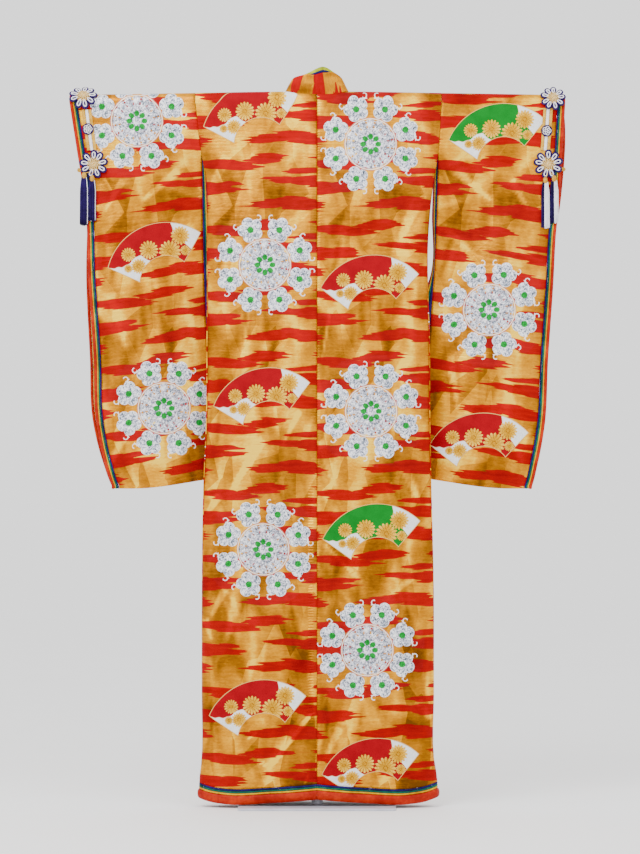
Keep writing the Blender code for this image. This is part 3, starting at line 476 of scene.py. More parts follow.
def patch(points, weave, place, relief, motifs=()):
    """A grid of points with its relief, and for each corner of its quads the weave's coordinates, its puckers
    and painted highlight, and the place in the nearest motif."""
    rows, columns = points.shape[:2]
    index = np.arange(rows * columns).reshape(rows, columns)
    faces = np.stack([index[:-1, :-1], index[:-1, 1:], index[1:, 1:], index[1:, :-1]], -1).reshape(-1, 4)
    weave = np.stack(np.broadcast_arrays(*weave), -1).reshape(-1, 3)[faces]
    place = np.stack(np.broadcast_arrays(*place), -1).reshape(-1, 2)[faces]
    local = np.zeros((len(faces), 4, 3))
    near = np.full(len(faces), MOTIF_REACH)
    for kind, x, z, turn in motifs:
        c, s = math.cos(math.radians(turn)), math.sin(math.radians(turn))
        right, up = (0, 0) if kind == ROUNDEL else FAN_MIDDLE
        middle = (x + right * c - up * s, z + right * s + up * c)
        away = np.linalg.norm(place.mean(axis=1) - middle, axis=1)
        mine = away < near
        near[mine] = away[mine]
        d = (place[mine] - (x, z)) * 1000
        local[mine, :, 0] = c * d[..., 0] + s * d[..., 1]
        local[mine, :, 1] = c * d[..., 1] - s * d[..., 0]
        local[mine, :, 2] = kind
    relief = np.broadcast_to(relief, (rows, columns)).reshape(-1)
    return points.reshape(-1, 3), faces, weave, local, relief


def mesh_of(name, points, faces, materials, indices, smooth=True, layers=()):
    """An object from points and quads. layers are (name, array of each corner's three numbers)."""
    mesh = bpy.data.meshes.new(name)
    faces = np.asarray(faces, np.int32)
    mesh.vertices.add(len(points))
    mesh.vertices.foreach_set("co", np.asarray(points, np.float32).ravel())
    mesh.loops.add(faces.size)
    mesh.loops.foreach_set("vertex_index", faces.ravel())
    mesh.polygons.add(len(faces))
    mesh.polygons.foreach_set("loop_start", np.arange(0, faces.size, faces.shape[1], dtype=np.int32))
    mesh.update(calc_edges=True)
    for material in materials:
        mesh.materials.append(material)
    mesh.polygons.foreach_set("material_index", np.asarray(indices, np.int32))
    mesh.polygons.foreach_set("use_smooth", np.broadcast_to(smooth, len(faces)).astype(bool))
    for layer, values in layers:
        made = mesh.attributes.new(layer, "FLOAT_VECTOR", "CORNER")
        made.data.foreach_set("vector", np.asarray(values, np.float32).ravel())
    mesh.validate()
    mesh.update()
    obj = bpy.data.objects.new(name, mesh)
    bpy.context.scene.collection.objects.link(obj)
    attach(obj, "root")
    return obj


def normals_of(points, faces):
    """The surface's normal at each point."""
    corners = points[faces]
    flat = np.cross(corners[:, 2] - corners[:, 0], corners[:, 3] - corners[:, 1])
    total = np.zeros_like(points)
    for k in range(4):
        np.add.at(total, faces[:, k], flat)
    return total / np.maximum(np.linalg.norm(total, axis=1, keepdims=True), 1e-12)


def cloth(name, patches, flip, materials, thickness=WALL):
    """A closed sheet from patches that share their borders: outer wall, lining and edges."""
    points, faces, weave, local, relief = [], [], [], [], []
    count = 0
    for p, f, w, m, r in patches:
        points.append(p)
        faces.append(f + count)
        weave.append(w)
        local.append(m)
        relief.append(r)
        count += len(p)
    points, faces, relief = np.concatenate(points), np.concatenate(faces), np.concatenate(relief)
    weave, local = np.concatenate(weave), np.concatenate(local)
    keys = np.round(points / WELD).astype(np.int64)
    _, first, back = np.unique(keys, axis=0, return_index=True, return_inverse=True)
    points, relief, faces = points[first], relief[first], back.reshape(-1)[faces]
    if flip:
        faces, weave, local = faces[:, ::-1], weave[:, ::-1], local[:, ::-1]
    kinds = np.where(len(materials) > 2, local[:, 0, 2], 0)
    flat_normals = normals_of(points, faces)
    points = points + flat_normals * relief[:, None]
    normals = normals_of(points, faces)
    # Painted light and shade: how far the relief tilts each point toward the light's way, kept as the motif's
    # third number
    local[..., 2] = ((normals - flat_normals) @ PAINTED_LIGHT_FROM)[faces]
    out = normals * thickness / 2
    n = len(points)
    end = np.roll(faces, -1, axis=1)
    free = ~np.isin(faces.astype(np.int64) * n + end, end.astype(np.int64) * n + faces)
    row, k = np.nonzero(free)
    k1 = (k + 1) % 4
    a, b = faces[row, k], faces[row, k1]
    rims = np.stack([b, a, a + n, b + n], axis=1)

    def all_corners(values):
        rim = np.stack([values[row, k1], values[row, k], values[row, k], values[row, k1]], axis=1)
        return np.concatenate([values, values[:, ::-1], rim])

    walls = np.concatenate([faces, faces[:, ::-1] + n, rims])
    drawn = np.where(kinds == 0, 0, 1 + kinds).astype(int)
    indices = np.concatenate([drawn, np.ones(len(faces), int), drawn[row]])
    smooth = np.repeat((True, True, False), (len(faces), len(faces), len(rims)))
    layers = (("weave", all_corners(weave)), ("motif", all_corners(local)))
    both = np.concatenate([points + out, points - out])
    return mesh_of(name, both, walls, materials, indices, smooth, layers)


def seam(distance, along):
    """Relief beside a seam: a groove, the turned edge behind it and small puckers."""
    puckers = np.sin(along * 520 + 2.5 * np.sin(along * 61)) * (0.5 + 0.5 * np.sin(along * 23))
    return (
        -0.0005 * np.exp(-((distance / 0.0035) ** 2))
        + 0.0005 * np.exp(-(((distance - 0.011) / 0.006) ** 2))
        + 0.00025 * puckers * np.exp(-((distance / 0.016) ** 2))
    )


def spread(inner, outer, count):
    """Places between two reaches, closer together toward the side of the body."""
    start = np.arcsin(inner / outer)
    return outer * np.sin(start + (math.pi / 2 - start) * np.linspace(0, 1, count + 1))


def body(word, side, materials):
    """One half of the body: its back, the turn over the rod and the front as far as the front panel."""
    back_motifs, front_motifs = (BACK_LEFT, FRONT_LEFT) if side < 0 else (BACK_RIGHT, FRONT_RIGHT)
    table = CREASES_LEFT if side < 0 else CREASES_RIGHT
    edge = 300.0 if side < 0 else 0.0  # mm, the weave's u at the middle of the back
    inner_columns = np.linspace(GAP / 2, NECK_HALF, NECK_COLUMNS)
    patches = []

    def weave_at(x, high, third=0):
        return x * 1000 + edge, WEAVE_TOP - high * 1000, third

    def relief(x, z):
        """Creases and puckers, calm at the sides, the hem and the shoulder."""
        reach = np.abs(x)
        wide = half_width(side, z)
        calm = ease((wide - reach) / 0.03) * ease((z - 0.05) / 0.03) * ease((ROD_Z - z) / 0.12)
        middle = ease(reach / 0.02)
        return (creases(x, z, table) + crumple(x, z)) * calm * (0.15 + 0.85 * middle) + seam(reach, z)

    rows = []
    for share in np.linspace(0, 1, BODY_ROWS):
        reach = spread(NECK_HALF, half_width(side, ROD_Z * share + 0.05 * (1 - share)), BODY_COLUMNS)
        foot = curve(reach, HEM_BACK)
        z = foot + (ROD_Z - foot) * share
        outer = spread(NECK_HALF, half_width(side, z[-1]), BODY_COLUMNS)
        reach = np.concatenate([inner_columns, outer[1:]])
        foot = curve(reach, HEM_BACK)
        rows.append(back_point(side * reach, foot + (ROD_Z - foot) * share))
    points = np.array(rows)
    x, z = points[..., 0], points[..., 2]
    puckers_and_painted_highlight = np.where(side < 0, np.exp(-(((x + 0.0165) / 0.007) ** 4)) * ease((0.87 - z) / 0.05), 0)
    puckers_and_painted_highlight = np.maximum(puckers_and_painted_highlight * ease((z - 0.20) / 0.05), 0.35 * np.exp(-((x / 0.010) ** 2)))
    # Painted highlight on pressed folds takes the puckers' place where it is stronger, as a negative number
    bright = gleams(x, z, GLEAMS_LEFT if side < 0 else GLEAMS_RIGHT)
    puckers_and_painted_highlight = np.where(bright > puckers_and_painted_highlight, -bright, puckers_and_painted_highlight)
    patches.append(patch(points, weave_at(x, z, puckers_and_painted_highlight), (x, z), relief(x, z), back_motifs))

    # Over the rod: all the way beside the neck, and as far as the collar at the neck
    steps = np.radians(np.linspace(90, -90, TURN_ROWS))
    top = NECK_DROP * (1 - (inner_columns / NECK_HALF) ** 2)
    bent = top + (math.pi / 2 - top) * (steps[: TURN_ROWS // 2 + 1] / (math.pi / 2))[:, None]
    beside = spread(NECK_HALF, half_width(side, ROD_Z), BODY_COLUMNS)
    for reach, angle in ((beside, steps[:, None]), (inner_columns, bent)):
        points = turn_point(side * reach[None, :], angle)
        x = points[..., 0]
        high = ROD_Z + TURN * (math.pi / 2 - angle) + 0 * x
        patches.append(patch(points, weave_at(x, high), (x, high), 0, back_motifs))

    rows = []
    for share in np.linspace(1, 0, BODY_ROWS):
        z = 0.055 + (ROD_Z - 0.055) * share
        reach = spread(np.maximum(collar_seam(z), OKUMI_SEAM), half_width(side, z), BODY_COLUMNS)
        foot = curve(reach, HEM_FRONT)
        z = foot + (ROD_Z - foot) * share
        rows.append(front_point(side, side * reach, z))
    points = np.array(rows)
    x, z = points[..., 0], points[..., 2]
    weave = weave_at(x, 2 * ROD_Z + OVER - z)
    lumps = relief(side * np.abs(x), z) - seam(np.abs(x), z) + seam(np.abs(x) - OKUMI_SEAM, z)
    patches.append(patch(points, weave, (-x, z), lumps, front_motifs))
    made = cloth(f"body_cloth_{word}", patches, side < 0, materials)
    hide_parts(f"body_{word}")


def okumi(word, side, materials):
    """A front panel, from its tip at the collar down to the hem."""
    above = np.linspace(OKUMI_TIP, COLLAR_END - GAP, OKUMI_ROWS_ABOVE)
    below = np.linspace(COLLAR_END - COLLAR_SLANT, HEM_LOW, OKUMI_ROWS_BELOW)
    rows = []
    for z in np.concatenate([above, below]):
        edge = collar_seam(z) + GAP if z > COLLAR_END - 2 * GAP else FRONT_EDGE
        rows.append(front_point(side, side * np.linspace(OKUMI_SEAM - GAP, edge, OKUMI_COLUMNS), z))
    points = np.array(rows)
    x, z = points[..., 0], points[..., 2]
    off = OKUMI_SEAM - side * x
    calm = ease((z - 0.05) / 0.03) * ease((1.5 - z) / 0.1) * ease(off / 0.03)
    lumps = crumple(x + 0.4, z) + creases(side * x, z, CREASES_LEFT[6:] + CREASES_RIGHT[4:])
    weave = (side * off * 1000 + 200, WEAVE_TOP - (2 * ROD_Z + OVER - z) * 1000, 0)
    motifs = OKUMI_LEFT if side < 0 else OKUMI_RIGHT
    patches = [patch(points, weave, (-x, z), lumps * calm + seam(off, z), motifs)]
    made = cloth(f"okumi_cloth_{word}", patches, side > 0, materials)
    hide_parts(f"okumi_{word}")


def sleeve(word, side, materials):
    """A sleeve in one cloth: over the rod, down the back, round the bottom and up the front."""
    back_motifs, front_motifs = (
        (SLEEVE_BACK_LEFT, SLEEVE_FRONT_LEFT) if side < 0 else (SLEEVE_BACK_RIGHT, SLEEVE_FRONT_RIGHT)
    )
    across = CUFF_CLOTH + (1 - CUFF_CLOTH) * np.linspace(0, 1, SLEEVE_COLUMNS)
    low = float(np.max(curve(across, SLEEVE_BOTTOM)) + SLEEVE_FOLD)
    down = np.concatenate([np.linspace(0, 0.96, 150), np.linspace(0.96, 1, 14)[1:]])
    legs = {
        "over": np.linspace(0, 1, TURN_ROWS),
        "back": 1 + down,
        "fold": np.linspace(2, 3, FOLD_ROWS),
        "front": 4 - down[::-1],
    }
    patches = []
    for leg, around in legs.items():
        points = sleeve_point(side, across[None, :], around[:, None])
        x, z = points[..., 0], points[..., 2]
        reach = np.abs(x)
        shown = z + 0 * x
        if leg == "over":
            shown = ROD_Z + TURN * math.pi * (1 - around)[:, None] + 0 * x
        from_cuff = (across - CUFF_CLOTH)[None, :] * SLEEVE_WEAVE + 0 * x
        tilt = SLEEVE_TILT * ease((ROD_Z - z) / 0.35)
        flat = shown - tilt * from_cuff if side < 0 else shown + tilt * (TILT_PIVOT - from_cuff)
        if leg == "front":
            flat = 2 * ROD_Z + OVER - flat
        u = from_cuff * 1000 if side < 0 else FAR_U - from_cuff * 1000
        offset = -26 if side < 0 else 0  # mm, along the weave's v
        # Painted highlight on pressed folds, carried as a negative third number of the weave
        bright = 0 if leg in ("over", "fold") else gleams(reach, z, GLEAMS_SLEEVE)
        weave = (u, WEAVE_TOP - flat * 1000 + offset, -bright)
        calm = ease((ROD_Z - z) / 0.10) * ease((z - low) / 0.05) * (0 if leg in ("over", "fold") else 1)
        calm = calm * (0.25 + 0.75 * ease((reach - 0.30) / 0.02))
        lumps = (creases(reach, z, CREASES_SLEEVE) + crumple(x + 0.7, z)) * calm
        lumps = lumps + seam((across - CUFF_CLOTH)[None, :] * SLEEVE_WIDTH, z) * calm
        shape = (-x if leg == "front" else x, shown)
        patches.append(patch(points, weave, shape, lumps, front_motifs if leg == "front" else back_motifs))
    made = cloth(f"sleeve_cloth_{word}", patches, side < 0, materials)
    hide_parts(f"sleeve_{word}_back", f"sleeve_{word}_front")


def collar_rows():
    """The collar band's seam edge and free edge, from the left front round the neck to the right one."""
    halves = []
    for side in (1, -1):
        rows = []
        for i, row in enumerate(COLLAR_RIGHT):
            base = np.array(row[:3])
            free = np.array(row[3:])
            if side < 0:
                free[2] = COLLAR_LEFT_HEIGHTS[i]
            rows.append((base * (side, 1, 1), free * (side, 1, 1)))
        for z in np.concatenate([[COLLAR_TOP, 1.77], np.linspace(1.72, COLLAR_END, 10)]):
            base = front_point(side, side * (collar_seam(z) - GAP), z)
            drop = COLLAR_SLANT - GAP if z < COLLAR_END + GAP else 0
            free = front_point(side, side * collar_free(z), z - drop)
            free[1] += 0.006 * ease((z - 1.70) / 0.12)
            rows.append((base, free))
        halves.append(rows)
    rows = halves[1][:0:-1] + halves[0]
    return np.array([base for base, _ in rows]), np.array([free for _, free in rows])


def resample(line, along, at):
    """Points of a line at other distances along it."""
    return np.stack([np.interp(at, along, line[:, k]) for k in range(3)], axis=-1)


def smooth_line(line, times=2):
    """Rounds the corners of a line of points that are evenly spaced."""
    for _ in range(times):
        line = np.concatenate([line[:1], (line[:-2] + 2 * line[1:-1] + line[2:]) / 4, line[-1:]])
    return line


def collar_lines(step=0.006):
    """Both edges of the band at even steps, and the distances of those steps."""
    base, free = collar_rows()
    along = np.concatenate([[0], np.cumsum(np.linalg.norm(np.diff(base, axis=0), axis=1))])
    at = np.linspace(0, along[-1], int(along[-1] / step))
    return smooth_line(resample(base, along, at)), smooth_line(resample(free, along, at)), at


def at_nape(at):
    """1 where the inner collars stand proud at the nape, 0 elsewhere."""
    return np.exp(-(((at - at.mean() - 0.009) / 0.034) ** 4))[:, None]


def collar(materials):
    """The collar band."""
    base, free, at = collar_lines()
    free = base + (free - base) * (1 - 0.235 * at_nape(at))
    behind = np.exp(-(((at - at.mean()) / 0.075) ** 6))[:, None]
    base = base + behind * (0, -0.0012, -0.0075)
    share = np.linspace(0, 1, 21)
    points = base[:, None] + (free - base)[:, None] * share[None, :, None]
    long = (at - at.mean())[:, None]
    wide = 0.13 * share[None, :]
    crown = 0.0010 * np.sin(math.pi * share)[None, :]
    lumps = crown + 0.5 * crumple(long * 1.3, wide + 0.2) * np.sin(math.pi * share)[None, :]
    weave = (wide * 500, long * 1000 + 141, 0)
    patches = [patch(points, weave, (long, wide), lumps)]
    made = cloth("collar_cloth", patches, True, materials, COLLAR_WALL)
    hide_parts("collar")


# Rolls of edging, cords and threads
class Bundle:
    """Many rolls gathered into one piece."""

    def __init__(self):
        self.points, self.faces, self.indices, self.count = [], [], [], 0

    def rings(self, rings, index=0, closed=False):
        """Skins rings of points. Ends that don't meet are drawn in to a point."""
        rings = np.array(rings, float)
        if not closed:
            first, last = rings[:1].mean(axis=1, keepdims=True), rings[-1:].mean(axis=1, keepdims=True)
            small = (rings[:1] - first) * 0.02 + first, (rings[-1:] - last) * 0.02 + last
            mid = (rings[:1] - first) * 0.75 + first, (rings[-1:] - last) * 0.75 + last
            rings = np.concatenate([small[0], mid[0], rings, mid[1], small[1]])
        rows, around = rings.shape[:2]
        grid = self.count + np.arange(rows * around).reshape(rows, around)
        after = np.roll(grid, -1, axis=0) if closed else grid[1:]
        before = grid if closed else grid[:-1]
        faces = np.stack([before, np.roll(before, -1, 1), np.roll(after, -1, 1), after], -1).reshape(-1, 4)
        self.points.append(rings.reshape(-1, 3))
        self.faces.append(faces)
        self.indices.append(np.full(len(faces), index))
        self.count += rows * around

    def tube(self, line, radius, index=0, closed=False, sides=8, flat=1.0, up=(0, 0, 1)):
        """A cord along a line. radius is a number or one for each point; flat thins it along up."""
        line = np.array(line, float)
        if closed:
            along = np.roll(line, -1, axis=0) - np.roll(line, 1, axis=0)
        else:
            along = np.gradient(line, axis=0)
        along /= np.maximum(np.linalg.norm(along, axis=1, keepdims=True), 1e-12)
        up = np.broadcast_to(np.array(up, float), line.shape)
        across = np.cross(along, up)
        across /= np.maximum(np.linalg.norm(across, axis=1, keepdims=True), 1e-9)
        up = np.cross(across, along)
        turn = np.arange(sides) * 2 * math.pi / sides
        radius = np.broadcast_to(radius, len(line))[:, None, None]
        self.rings(
            line[:, None]
            + radius * (across[:, None] * np.cos(turn)[:, None] + flat * up[:, None] * np.sin(turn)[:, None]),
            index,
            closed,
        )

    def done(self, name, materials, slot, replaces=()):
        """Makes the piece, with its faces turned outward."""
        points, faces = np.concatenate(self.points), np.concatenate(self.faces)
        made = mesh_of(name, points, faces, materials, np.concatenate(self.indices))
        corners = points[faces]
        volume = np.einsum("ij,ij->i", corners[:, 0], np.cross(corners[:, 1], corners[:, 2]))
        volume += np.einsum("ij,ij->i", corners[:, 0], np.cross(corners[:, 2], corners[:, 3]))
        if volume.sum() < 0:
            made.data.flip_normals()
        if replaces:
            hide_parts(*replaces)
        return made


def roll_ring(middle, half, height, sides=12):
    """Outline of one roll: distances along the cloth and heights over it."""
    turn = np.arange(sides) * 2 * math.pi / sides
    fat = np.sign(np.cos(turn)) * np.abs(np.cos(turn)) ** 0.8
    return middle + half * fat, height * np.sin(turn)


def sleeve_rows():
    """Places once round a sleeve, as sleeve_point counts them."""
    over, fold = np.linspace(0, 1, TURN_ROWS), np.linspace(2, 3, FOLD_ROWS)
    down = np.linspace(0, 1, 130)
    return np.concatenate([over[:-1], 1 + down, fold[1:-1], 4 - down[::-1][:-1]])


def cuff(word, side, narrow, wide):
    """The layered edging round a cuff: three narrow folded strips and a wide padded one."""
    around = sleeve_rows()[:, None]
    layers, roll = Bundle(), Bundle()
    turned = np.arange(len(around))[:, None]
    for index, (middle, half, height) in enumerate(CUFF_STRIPS):
        along, high = roll_ring(middle, half, height)
        high = high * (1 + 0.07 * np.sin(turned * 0.9 + 2 * index) * np.sin(turned * 0.23 + index))
        layers.rings(lifted(side, (along[None, :] - GAP) / SLEEVE_WIDTH, around, high), index, closed=True)
    along, high = roll_ring(*CUFF_ROLL, 16)
    high = high * (1 + 0.09 * np.sin(turned * 0.7) * np.sin(turned * 0.19 + 1))
    roll.rings(lifted(side, (along[None, :] - GAP) / SLEEVE_WIDTH, around, high), 0, closed=True)
    made = layers.done(f"cuff_layers_{word}", narrow, "layered_silk_edging", [f"cuff_edging_{word}"])
    made = roll.done(f"cuff_roll_{word}", [wide], "layered_silk_edging", [f"cuff_edging_{word}"])


def arm(word, side, materials):
    """Narrow strips down the open edge of a sleeve, below the armhole."""
    around = np.array([a for a in sleeve_rows() if a > 1 and sleeve_point(side, 1.0, a)[2] < ARMHOLE_LOW])
    table = ARM_LAYERS_LEFT if side < 0 else ARM_LAYERS_RIGHT
    wide = curve(sleeve_point(side, 1.0, around)[:, 2], table)[:, None]
    layers = Bundle()
    for index, (middle, half) in enumerate(ARM_STRIPS):
        along, high = roll_ring(middle, half, ARM_STRIP_HEIGHT)
        across = 1 + (2 * GAP + along[None, :] * wide) / SLEEVE_WIDTH
        layers.rings(lifted(side, across, around[:, None], high * np.clip(wide / 0.010, 0.3, 1)), index)
    made = layers.done(f"arm_layers_{word}", materials, "layered_silk_edging", [f"arm_edging_{word}"])


def hem_path(side):
    """The panels' lower edge, from the middle of the back round the side to the front edge."""
    wide = half_width(side, float(curve(0.31, HEM_BACK)))
    reach = np.concatenate([np.linspace(GAP / 2, NECK_HALF, 22)[:-1], spread(NECK_HALF, wide, 50)[:-1]])
    back = back_point(side * reach, curve(reach, HEM_BACK))
    edge = np.array([[side * wide, 0.0, curve(wide, HEM_BACK)]])
    reach = np.concatenate([spread(OKUMI_SEAM, wide, 50)[-2:0:-1], np.linspace(OKUMI_SEAM, FRONT_EDGE, 28)])
    front = front_point(side, side * reach, curve(reach, HEM_FRONT))
    return np.concatenate([back, edge, front])


def hem(word, side, narrow, wide):
    """Three narrow folded strips and a thick padded roll along the hem."""
    path = hem_path(side)
    run = np.concatenate([[0], np.cumsum(np.linalg.norm(np.diff(path, axis=0), axis=1))])
    along = np.gradient(path, axis=0)
    along[:, 2] = 0
    along /= np.linalg.norm(along, axis=1, keepdims=True)
    out = side * np.stack([along[:, 1], -along[:, 0], 0 * along[:, 0]], axis=1)
    down = np.array((0, 0, -1.0))
    end = np.minimum(run, run[-1] - run)
    tight = 0.72 + 0.28 * ease(end / 0.02)
    layers, roll = Bundle(), Bundle()
    for index, (middle, half, height) in enumerate(HEM_STRIPS):
        low, high = roll_ring(middle, half, height)
        wave = 0.0003 * np.sin(run * 70 + index) * np.sin(run * 17)
        rings = path[:, None] + down * (low[None, :, None] + wave[:, None, None])
        layers.rings(rings + out[:, None] * (high[None, :] * tight[:, None])[..., None], index)
    middle, half, height = HEM_ROLL
    low, high = roll_ring(middle, half, height, 20)
    puckers = 1 - 0.07 * np.sin(run * 330 + 3 * np.sin(run * 41)) * (0.25 + 0.75 * np.exp(-end / 0.03))
    puckers = puckers - 0.03 * np.sin(run * 120 + 1.0)
    low = middle + (low - middle)[None, :] * (0.985 + 0.015 * puckers[:, None])
    rings = path[:, None] + down * low[..., None]
    roll.rings(rings + out[:, None] * (high[None, :] * (tight * puckers)[:, None])[..., None])
    made = layers.done(f"hem_layers_{word}", narrow, "layered_silk_edging", [f"hem_edging_{word}"])
    made = roll.done(f"hem_roll_{word}", [wide], "layered_silk_edging", [f"hem_edging_{word}"])


def collar_layers(materials):
    """Three thin inner collars that show along the band's free edge."""
    base, free, at = collar_lines(0.008)
    layers = Bundle()
    proud = at_nape(at)
    for index, (share, rise) in enumerate(INNER_COLLARS):
        line = base + (free - base) * (share + rise * proud) + (0, 0.0034, 0) * (1 - 0.8 * proud)
        layers.tube(line, 0.0014 + 0.0026 * proud[:, 0], index, sides=8, flat=0.45, up=(0, -1, 0))
    made = layers.done("collar_layers", materials, "layered_silk_edging")


def on_sleeve(side, x, z, lift):
    """Places about a point on a sleeve's back: to the right, up and out."""

    def place(right, up, height):
        across, around = on_back(side, x + np.asarray(right), z + np.asarray(up))
        return lifted(side, across, around, np.asarray(height) + lift + 0 * across)

    return place


def over_edge(x, lean, above, below):
    """Places for the upper rosettes, which lean over the top of the sleeve."""
    radius = TURN + 0.0034  # where they touch the cloth, from the rod's middle
    lean = math.radians(lean)
    back, top = -math.sin(lean), math.cos(lean)
    contact = np.array([x, radius * back, ROD_Z + radius * top])

    def place(right, up, height):
        right, up, height = np.broadcast_arrays(np.asarray(right, float), up, height)
        bend = np.where(up > 0, above, below)
        angle = lean - up / bend
        reach = bend + height
        y, z = -reach * np.sin(angle) - bend * back, reach * np.cos(angle) - bend * top
        return contact + np.stack([right, y, z], axis=-1)

    return place


def loop_on(bundle, place, x, y, height, radius, index, sides=6, closed=True):
    """Adds a cord that lies on its place."""
    line = place(x, y, height)
    up = place(x, y, np.asarray(height) + 0.001) - line
    bundle.tube(line, radius, index, closed, sides, 1.0, up)


def ring_on(bundle, place, t, far, height, radius, index):
    """Adds a closed cord at the angles t, far from the middle of its place."""
    loop_on(bundle, place, far * np.cos(t), far * np.sin(t), height + 0 * t, radius, index)


def rosette(word, level, place, radius, turn, materials):
    """Loops of white cord edged with purple, round a braided boss."""
    made = Bundle()
    t = circle(22)
    for i in range(PETALS):
        angle = math.radians(turn) + 2 * math.pi * i / PETALS
        c, s = math.cos(angle), math.sin(angle)
        lean = 0.05 * math.sin(2.3 * i + radius * 900)  # a little, each petal its own way
        for start, end, half, size, high, index in PETAL_CORDS:
            far = radius * (start + (end - start) * (1 - np.cos(t)) / 2)
            off = radius * half * np.sin(t) * (0.75 + 0.25 * np.cos(t + math.pi)) + far * lean
            loop_on(made, place, far * c - off * s, far * s + off * c, high + 0 * t, size, index)
    boss = BOSS * radius
    for i in range(BOSS_CORDS):
        start = 2 * math.pi * i / BOSS_CORDS
        for way, index in ((1, 2), (-1, 3)):
            share = np.linspace(0.04, 1, 12)
            angle = start + way * 1.25 * share
            high = 0.0016 + 0.0050 * np.sqrt(1 - (0.96 * share) ** 2) + 0.0004 * np.cos(share * 19 + way + i)
            far = boss * share
            x, y = far * np.cos(angle), far * np.sin(angle)
            loop_on(made, place, x, y, high, 0.0012, index, 5, closed=False)
    for far, high in ((0.92, 0.0022), (1.03, 0.0012)):
        ring_on(made, place, circle(28), boss * far, high, 0.0013, 2)
    made.done(f"cord_rosette_{level}_{word}", materials, "white_silk_cord", [f"rosette_{level}_{word}"])


def knot(word, side, x, z, lift, materials):
    """A round knot of interlaced white cord, ringed with purple."""
    made = Bundle()
    place = on_sleeve(side, x, z, lift + CORD_RADIUS)
    t = circle(120)
    far = KNOT_RADIUS * (0.46 + 0.30 * np.cos(5 * t))
    ring_on(made, place, 3 * t, far, 0.0044 + 0.0009 * np.sin(7.5 * t + 0.4), 0.0010, 0)
    for share in (0.08, 0.30, 0.52, 0.72, 0.90):
        ring_on(made, place, circle(40), KNOT_RADIUS * share, 0.0024, 0.0019, 1)
    made.done(f"cord_knot_{word}", materials, "white_silk_cord", [f"knot_{word}"])


def straight_cords(word, side, x, middle, lift, top, gold, white):
    """Three flat cords that pass under a knot, the middle one white."""
    for i in (-1, 0, 1):
        z = np.linspace(top, CORD_END, 40)
        made = Bundle()
        place = on_sleeve(side, x + i * CORD_PITCH, 0.0, lift)
        slant = CORD_SLANT[word][0] * (z - middle) + CORD_SLANT[word][1]
        line = place(slant, z, 0 * z)
        up = place(slant, z, 0 * z + 0.001) - line
        made.tube(line, CORD_HALF * (1 + 0.02 * np.sin(z * 900)), 0, False, 12, CORD_RADIUS / CORD_HALF, up)
        material, slot = (white, "white_silk_cord") if i == 0 else (gold, "gold_silk_cord")
        made.done(f"flat_cord_{word}_{i + 2}", [material], slot, [f"cord_{word}_{i + 2}"])


def bead(word, place, materials):
    """A small knot of gold cord beside a lower rosette."""
    made = Bundle()
    t = circle(60)
    far = BEAD_RADIUS * (0.48 + 0.30 * np.cos(3 * t))
    ring_on(made, place, 2 * t, far, 0.0028 + 0.0012 * np.sin(3 * t), 0.0013, 0)
    for share, high in ((0.74, 0.0014), (0.25, 0.0030)):
        ring_on(made, place, circle(18), BEAD_RADIUS * share, high, 0.0013, 0)
    made.done(f"cord_bead_{word}", materials, "gold_silk_cord", [f"bead_{word}"])


def tassel(name, x, top, bottom, rosette_at, white_share, materials):
    """Threads below a wound head: 0 purple, 1 white, 2 gold."""
    side = side_of(x)
    made = Bundle()
    random = np.random.default_rng(int(abs(x) * 1e4))
    head_y = float(lifted(side, *on_back(side, x, top - 0.008), ORNAMENT_LIFT)[1]) - STAND_OUT
    t = circle(16)
    for i in range(HEAD_WINDS):
        z = top - 0.0022 - HEAD_PITCH * i
        wide = HEAD_RADIUS * math.sqrt(max(0.12, 1 - ((i - 3.2) / 4.2) ** 2)) + 0.0002
        made.tube(points_at(x + wide * np.cos(t), head_y + 0.9 * wide * np.sin(t), z), 0.0014, 2, True, 6)
    start = np.array((x, head_y, top - 0.003))
    share = np.linspace(0, 1, 8)[:, None]
    bend = np.sin(math.pi * share) * np.array((0.0015 * side, -0.001, 0))
    made.tube(start + (rosette_at - start) * share + bend, THREAD_RADIUS, 2, False, 6)
    neck = top - NECK_DOWN
    for i in range(THREADS):
        angle = GOLDEN_ANGLE * i
        far = math.sqrt((i + 0.5) / THREADS)
        share = np.linspace(0, 1, 9)
        low = bottom + 0.004 * random.random() + 0.003 * far
        z = neck + 0.003 + (low - neck - 0.003) * share
        surface = lifted(side, *on_back(side, x + 0 * z, z), ORNAMENT_LIFT + 0 * z)[:, 1]
        swell = 0.62 + 0.38 * ease(share / 0.25)
        sway = 0.0006 * np.sin(3 * share + 6.28 * random.random()) * share
        px = x + BUNCH_HALF * far * math.cos(angle) * swell + sway
        py = surface - STAND_OUT + BUNCH_DEPTH * far * math.sin(angle) * swell - 0.0012 * share
        white = math.cos(angle) * far > 1 - 2 * white_share
        if white_share < 0.2:
            white = i % 20 == 7  # a few, spread all through
        made.tube(points_at(px, py, z), THREAD_RADIUS, 1 if white else 0, False, 4)
    made.done(f"thread_{name}", materials, "purple_silk_thread", [name])


# Materials. Pattern sizes are in millimetres.
def linear(colour):
    """The linear colour of sRGB hex digits."""
    parts = [int(colour[i : i + 2], 16) / 255 for i in (1, 3, 5)]
    return tuple(c / 12.92 if c <= 0.04045 else ((c + 0.055) / 1.055) ** 2.4 for c in parts) + (1.0,)


def put(tree, socket, value):
    """Links a socket or sets it to a number, a colour's hex digits or a tuple, which may hold links."""
    if isinstance(value, tuple) and any(isinstance(part, Number) for part in value):
        value = node(tree, "CombineXYZ", enumerate(value))
    if isinstance(value, Number):
        value = value.socket
    if isinstance(value, bpy.types.NodeSocket):
        tree.links.new(value, socket)
    else:
        socket.default_value = linear(value) if isinstance(value, str) else value


